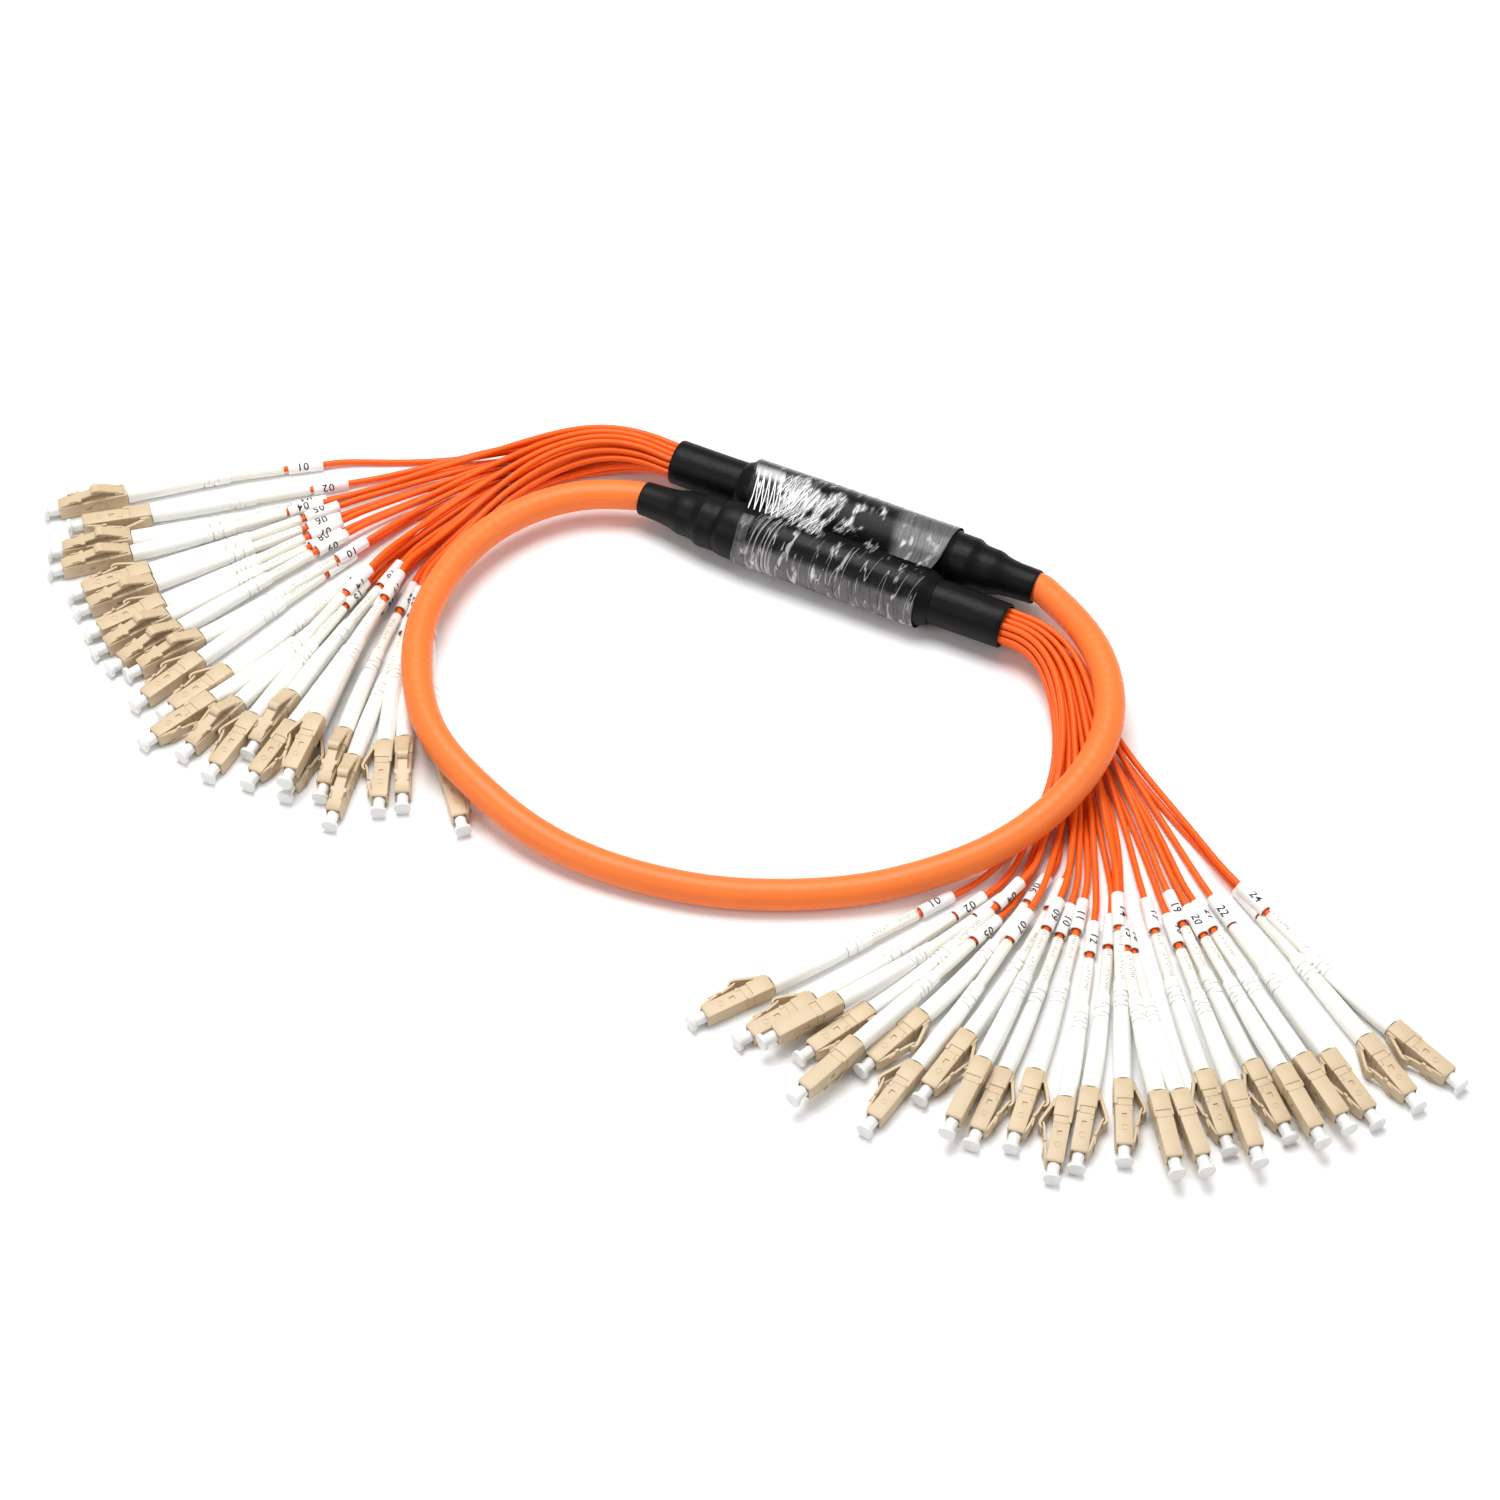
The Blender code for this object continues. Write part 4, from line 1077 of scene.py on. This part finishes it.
class PATCHCORD_OT_stage(bpy.types.Operator):
    """Camera, pale floor and soft lights"""

    bl_idname = "patch_cord.stage"
    bl_label = "Camera, floor and lights"

    def execute(self, context):
        scene = context.scene
        lens = bpy.data.cameras.new("photo_view")
        lens.lens = FOCAL_LENGTH
        lens.sensor_width = 36.0
        lens.clip_start = 0.05
        camera = placed("photo_view", lens)
        camera.location = Vector(CAMERA_PLACE) + SHIFT
        camera.rotation_euler = (math.radians(CAMERA_TILT), 0.0, 0.0)
        scene.camera = camera
        floor = Shape()
        corners = ((-1, -1, 0), (1, -1, 0), (1, 1, 0), (-1, 1, 0))
        floor.add(np.array(corners) * FLOOR_REACH, [(0, 1, 2, 3)])
        placed("floor", floor.mesh("floor", ["floor_white"]))
        for name, place, size, power in LIGHTS:
            lamp = bpy.data.lights.new(name, "AREA")
            lamp.shape = "DISK"
            lamp.size = size
            lamp.energy = power
            holder = placed(name, lamp)
            holder.location = place
            holder.rotation_euler = (-Vector(place)).to_track_quat("-Z", "Y").to_euler()
        world = bpy.data.worlds.new("studio")
        world.use_nodes = True
        colour, strength = world.node_tree.nodes["Background"].inputs[:2]
        colour.default_value = (1.0, 1.0, 1.0, 1.0)
        strength.default_value = SKY
        scene.world = world
        scene.view_settings.view_transform = "Standard"
        return {"FINISHED"}


class PATCHCORD_OT_trunk(bpy.types.Operator):
    """Thick armoured trunk, laid as an open ring from sleeve to sleeve"""

    bl_idname = "patch_cord.trunk"
    bl_label = "Armoured trunk"

    def execute(self, context):
        ends = []
        for side in ("b", "a"):
            mouth, heading = MOUTHS[side]
            for inset in (TRUNK_BORE_DEPTH - CLEARANCE, -2.0 * MM):
                place = np.array(mouth) * MM - unit(heading) * (SLEEVE_LENGTH - inset)
                ends.append((*place, SLEEVE_AXIS_HEIGHT))
        middle = [tuple(value * MM for value in knot) for knot in TRUNK_ROUTE]
        fine, _ = resample(smooth_route(ends[:2] + middle + ends[:1:-1]), FINE)
        route, along = resample(relaxed(fine, rounds=60, held=7), FINE)
        route = route + np.array(SHIFT)

        def swell(station, angle):
            s = station / MM
            return 0.022 * MM * np.sin(s * 1.85 + angle) + 0.03 * MM * np.sin(s / 13.0 + 2 * angle)

        shape = skin(route, [(s, TRUNK_DIAMETER / 2) for s in along], 40, swell=swell)
        trunk = as_piece("armoured_trunk", shape, ["trunk_jacket"], "trunk_cable")
        return {"FINISHED"}


class PATCHCORD_OT_leads(bpy.types.Operator):
    """The 24 thin leads of each fan, from the sleeve's mouth to the connectors"""

    bl_idname = "patch_cord.leads"
    bl_label = "Leads"

    def execute(self, context):
        for lead in all_leads():
            profile = [(s, LEAD_DIAMETER / 2) for s in stops_between(0.0, lead.run, 2.0 * MM)]
            shape = skin(lead.route, profile, 14)
            as_piece("lead_" + lead.name, shape, ["lead_jacket"], lead.node)
        return {"FINISHED"}


class PATCHCORD_OT_labels(bpy.types.Operator):
    """A short white number sleeve on each lead, with a plain number"""

    bl_idname = "patch_cord.labels"
    bl_label = "Number sleeves"

    def execute(self, context):
        sizes = context.scene.patch_cord_sizes
        outer = sizes.label_diameter / 2
        inner = outer - LABEL_WALL
        lip = 0.1 * MM
        for lead in all_leads():
            chance = lead.chance(1.0)
            end = lead.run - BOOT_LENGTH - TUBE_LENGTH + LABEL_END - LABEL_SPREAD * chance
            start = end - sizes.label_length
            low, high = start + 1.5 * MM, end - 1.5 * MM
            profile = [
                (start, inner + lip), (start, outer - lip), (start + lip, outer),
                *((s, outer) for s in stops_between(low, high, 1.5 * MM)),
                (end - lip, outer), (end, outer - lip), (end, inner + lip), (end - lip, inner),
                *((s, inner) for s in reversed(stops_between(low, high, 3 * MM))),
                (start + lip, inner),
            ]

            def swell(station, angle):
                return 0.02 * MM * np.sin(station / (3.1 * MM) + 2 * angle + 3.0 * chance)

            shape = skin(lead.route, profile, 26, ring=True, swell=swell)
            turn = math.radians(LABEL_TURN + LABEL_TURN_SPREAD * (lead.chance(3.0) - 0.5))
            middle, radius = end - DIGITS_BACK, outer + DIGITS_RISE
            wrap_number(shape, lead.route, middle, radius, turn, lead.number, sizes.digit_height)
            as_piece("number_sleeve_" + lead.name, shape, ["label_white", "label_ink"], lead.node)
        return {"FINISHED"}


class PATCHCORD_OT_tubes(bpy.types.Operator):
    """The cream shrink tube between each number sleeve and boot"""

    bl_idname = "patch_cord.tubes"
    bl_label = "Shrink tubes"

    def execute(self, context):
        radius = TUBE_DIAMETER / 2
        for lead in all_leads():
            chance = lead.chance(5.0)
            start = lead.run - BOOT_LENGTH - TUBE_LENGTH + TUBE_START + TUBE_SPREAD * chance
            end = lead.run - BOOT_LENGTH + TUBE_IN_BOOT
            profile = [
                (start, radius - 0.35 * MM), (start + 0.05 * MM, radius - 0.1 * MM),
                (start + 0.25 * MM, radius),
                *((s, radius) for s in stops_between(start + 1.5 * MM, end, 1.3 * MM)),
            ]

            def swell(station, angle):
                s = station / MM
                return 0.025 * MM * np.sin(s / 1.9 + 9 * chance) + 0.02 * MM * np.sin(2 * angle + s / 4)

            shape = skin(lead.route, profile, 22, swell=swell)
            finish = "tube_ticked" if chance > 0.35 else "tube_plain"
            as_piece("shrink_tube_" + lead.name, shape, [finish], lead.node)
        return {"FINISHED"}


# A boot's taper, then the places of its slits, in millimetres from its thin end
BOOT_TAPER = (
    (2.4, BOOT_TIP - 0.06 * MM), (2.7, BOOT_TIP + 0.05 * MM), (9.0, BOOT_TIP + 0.14 * MM),
    (13.0, BOOT_TIP + 0.3 * MM), (20.0, BOOT_ROOT - 0.04 * MM), (30.5, BOOT_ROOT),
)
BOOT_SLITS = (3.2, 4.7, 6.2, 7.7)


class PATCHCORD_OT_boots(bpy.types.Operator):
    """A white tapered boot behind each connector, with rings of flexing slits near its thin end"""

    bl_idname = "patch_cord.boots"
    bl_label = "Boots"

    def execute(self, context):
        depth = context.scene.patch_cord_sizes.slit_depth
        bore = TUBE_DIAMETER / 2
        stations = [0.12, 0.35, 1.2, 2.38, 2.7]
        for place in BOOT_SLITS:
            stations += [place, place + 0.06, place + 0.4, place + 0.46]
        stations += [9.0, 10.5, 12.0, 13.5, 15.0, 16.5, 18.0, 20.0, 22.0, 24.0, 26.0, 28.0, 30.0, 30.5]
        radii = np.interp(stations, *zip(*BOOT_TAPER))
        outline = [
            (0.7, 1.2 * MM), (0.7, bore + 0.12 * MM), (0.0, bore + 0.16 * MM),
            (0.0, BOOT_TAPER[0][1] - 0.12 * MM), *zip(stations, radii),
        ]
        for lead in all_leads():
            start = lead.run - BOOT_LENGTH
            turn = 2 * math.pi * lead.chance(7.0)

            def swell(station, angle):
                out = np.zeros(np.broadcast(station, angle).shape)
                for k, place in enumerate(BOOT_SLITS):
                    low, high = start + (place + 0.05) * MM, start + (place + 0.41) * MM
                    inside = (station > low) & (station < high)
                    opened = np.abs(np.sin(angle + turn + k * math.pi / 2)) > 0.5
                    out = out - depth * (inside & opened)
                return out

            shape = skin(lead.route, [(start + s * MM, r) for s, r in outline], 32, swell=swell)
            as_piece("boot_" + lead.name, shape, ["boot_white"], lead.node, crease=40)
        return {"FINISHED"}


class PATCHCORD_OT_connectors(bpy.types.Operator):
    """The 48 latched connectors with their dust caps"""

    bl_idname = "patch_cord.connectors"
    bl_label = "Connectors"

    def execute(self, context):
        for lead in all_leads():
            made = placed("latched_connector_" + lead.name, connector_mesh())
            made.matrix_world = Matrix.Translation(SHIFT) @ connector_matrix(lead.seat)
            stand_for(made, "connector_" + lead.name)
        return {"FINISHED"}


class PATCHCORD_OT_sleeves(bpy.types.Operator):
    """The two black shrink sleeves, three shrunk layers each, and the potting in their mouths"""

    bl_idname = "patch_cord.sleeves"
    bl_label = "Shrink sleeves"

    def execute(self, context):
        bore = mouth_bore_radius()
        plug = (
            (3.9, 0.1), (3.95, 0.5), (3.85, 0.8), (4.0, 0.93), (4.3, 0.97), (7.8, 0.97), (7.8, 0.5),
        )
        for side, seed in (("a", 0.0), ("b", 4.4)):
            route = sleeve_route(side)
            for k, (name, layer, depth) in enumerate(sleeve_layers()):
                profile = [(s * MM, radius * MM) for s, radius in layer]
                shape = skin(route, profile, 64, swell=ripples(2.1 * k + seed, depth * MM))
                node = "furcation_sleeve_" + side
                as_piece(f"{name}_{side}", shape, ["shrink_black"], node, 50)
            profile = [(s * MM, bore * share) for s, share in plug]
            shape = skin(route, profile, 40, swell=ripples(1.0, 0.05 * MM))
            as_piece("potting_" + side, shape, ["potting_black"], "lead_harness_" + side)
        return {"FINISHED"}


class PATCHCORD_OT_film(bpy.types.Operator):
    """Clear creased film round both sleeves"""

    bl_idname = "patch_cord.film"
    bl_label = "Clear film"

    def execute(self, context):
        film = as_piece("clear_film_band", film_sheet(), ["clear_film"], "film_wrap", 70)
        wall = film.modifiers.new("wall", "SOLIDIFY")
        wall.thickness = context.scene.patch_cord_sizes.film_thickness
        wall.offset = 0.0
        return {"FINISHED"}


class PATCHCORD_OT_declare(bpy.types.Operator):
    bl_idname = "patch_cord.declare"
    bl_label = "Declare the cords"

    def execute(self, context):
        for lead in all_leads()[:MOST_DECLARED]:
            lead.route[0]
            lead.run
            [list(place) for place in lead.route]
        return {"FINISHED"}


class PATCHCORD_PT_panel(bpy.types.Panel):
    """Lists the steps that build the patch cord"""

    bl_idname = "PATCHCORD_PT_panel"
    bl_label = "Patch cord"
    bl_space_type = "VIEW_3D"
    bl_region_type = "UI"
    bl_category = "Patch cord"

    def draw(self, context):
        for group in (context.scene.patch_cord_sizes, context.scene.patch_cord_colours):
            for name in group.__annotations__:
                self.layout.prop(group, name)
        for step in STEPS:
            self.layout.operator(step.bl_idname)


STEPS = (
    PATCHCORD_OT_stage, PATCHCORD_OT_trunk, PATCHCORD_OT_leads, PATCHCORD_OT_labels,
    PATCHCORD_OT_tubes, PATCHCORD_OT_boots, PATCHCORD_OT_connectors, PATCHCORD_OT_sleeves,
    PATCHCORD_OT_film, PATCHCORD_OT_declare,
)
CLASSES = (CordSizes, CordColours, *STEPS, PATCHCORD_PT_panel)


def register():
    for kind in CLASSES:
        bpy.utils.register_class(kind)
    bpy.types.Scene.patch_cord_sizes = bpy.props.PointerProperty(type=CordSizes)
    bpy.types.Scene.patch_cord_colours = bpy.props.PointerProperty(type=CordColours)


def unregister():
    del bpy.types.Scene.patch_cord_colours
    del bpy.types.Scene.patch_cord_sizes
    for kind in reversed(CLASSES):
        bpy.utils.unregister_class(kind)


def main():
    register()
    for step in STEPS:
        group, name = step.bl_idname.split(".")
        getattr(getattr(bpy.ops, group), name)()


if __name__ == "__main__":
    main()
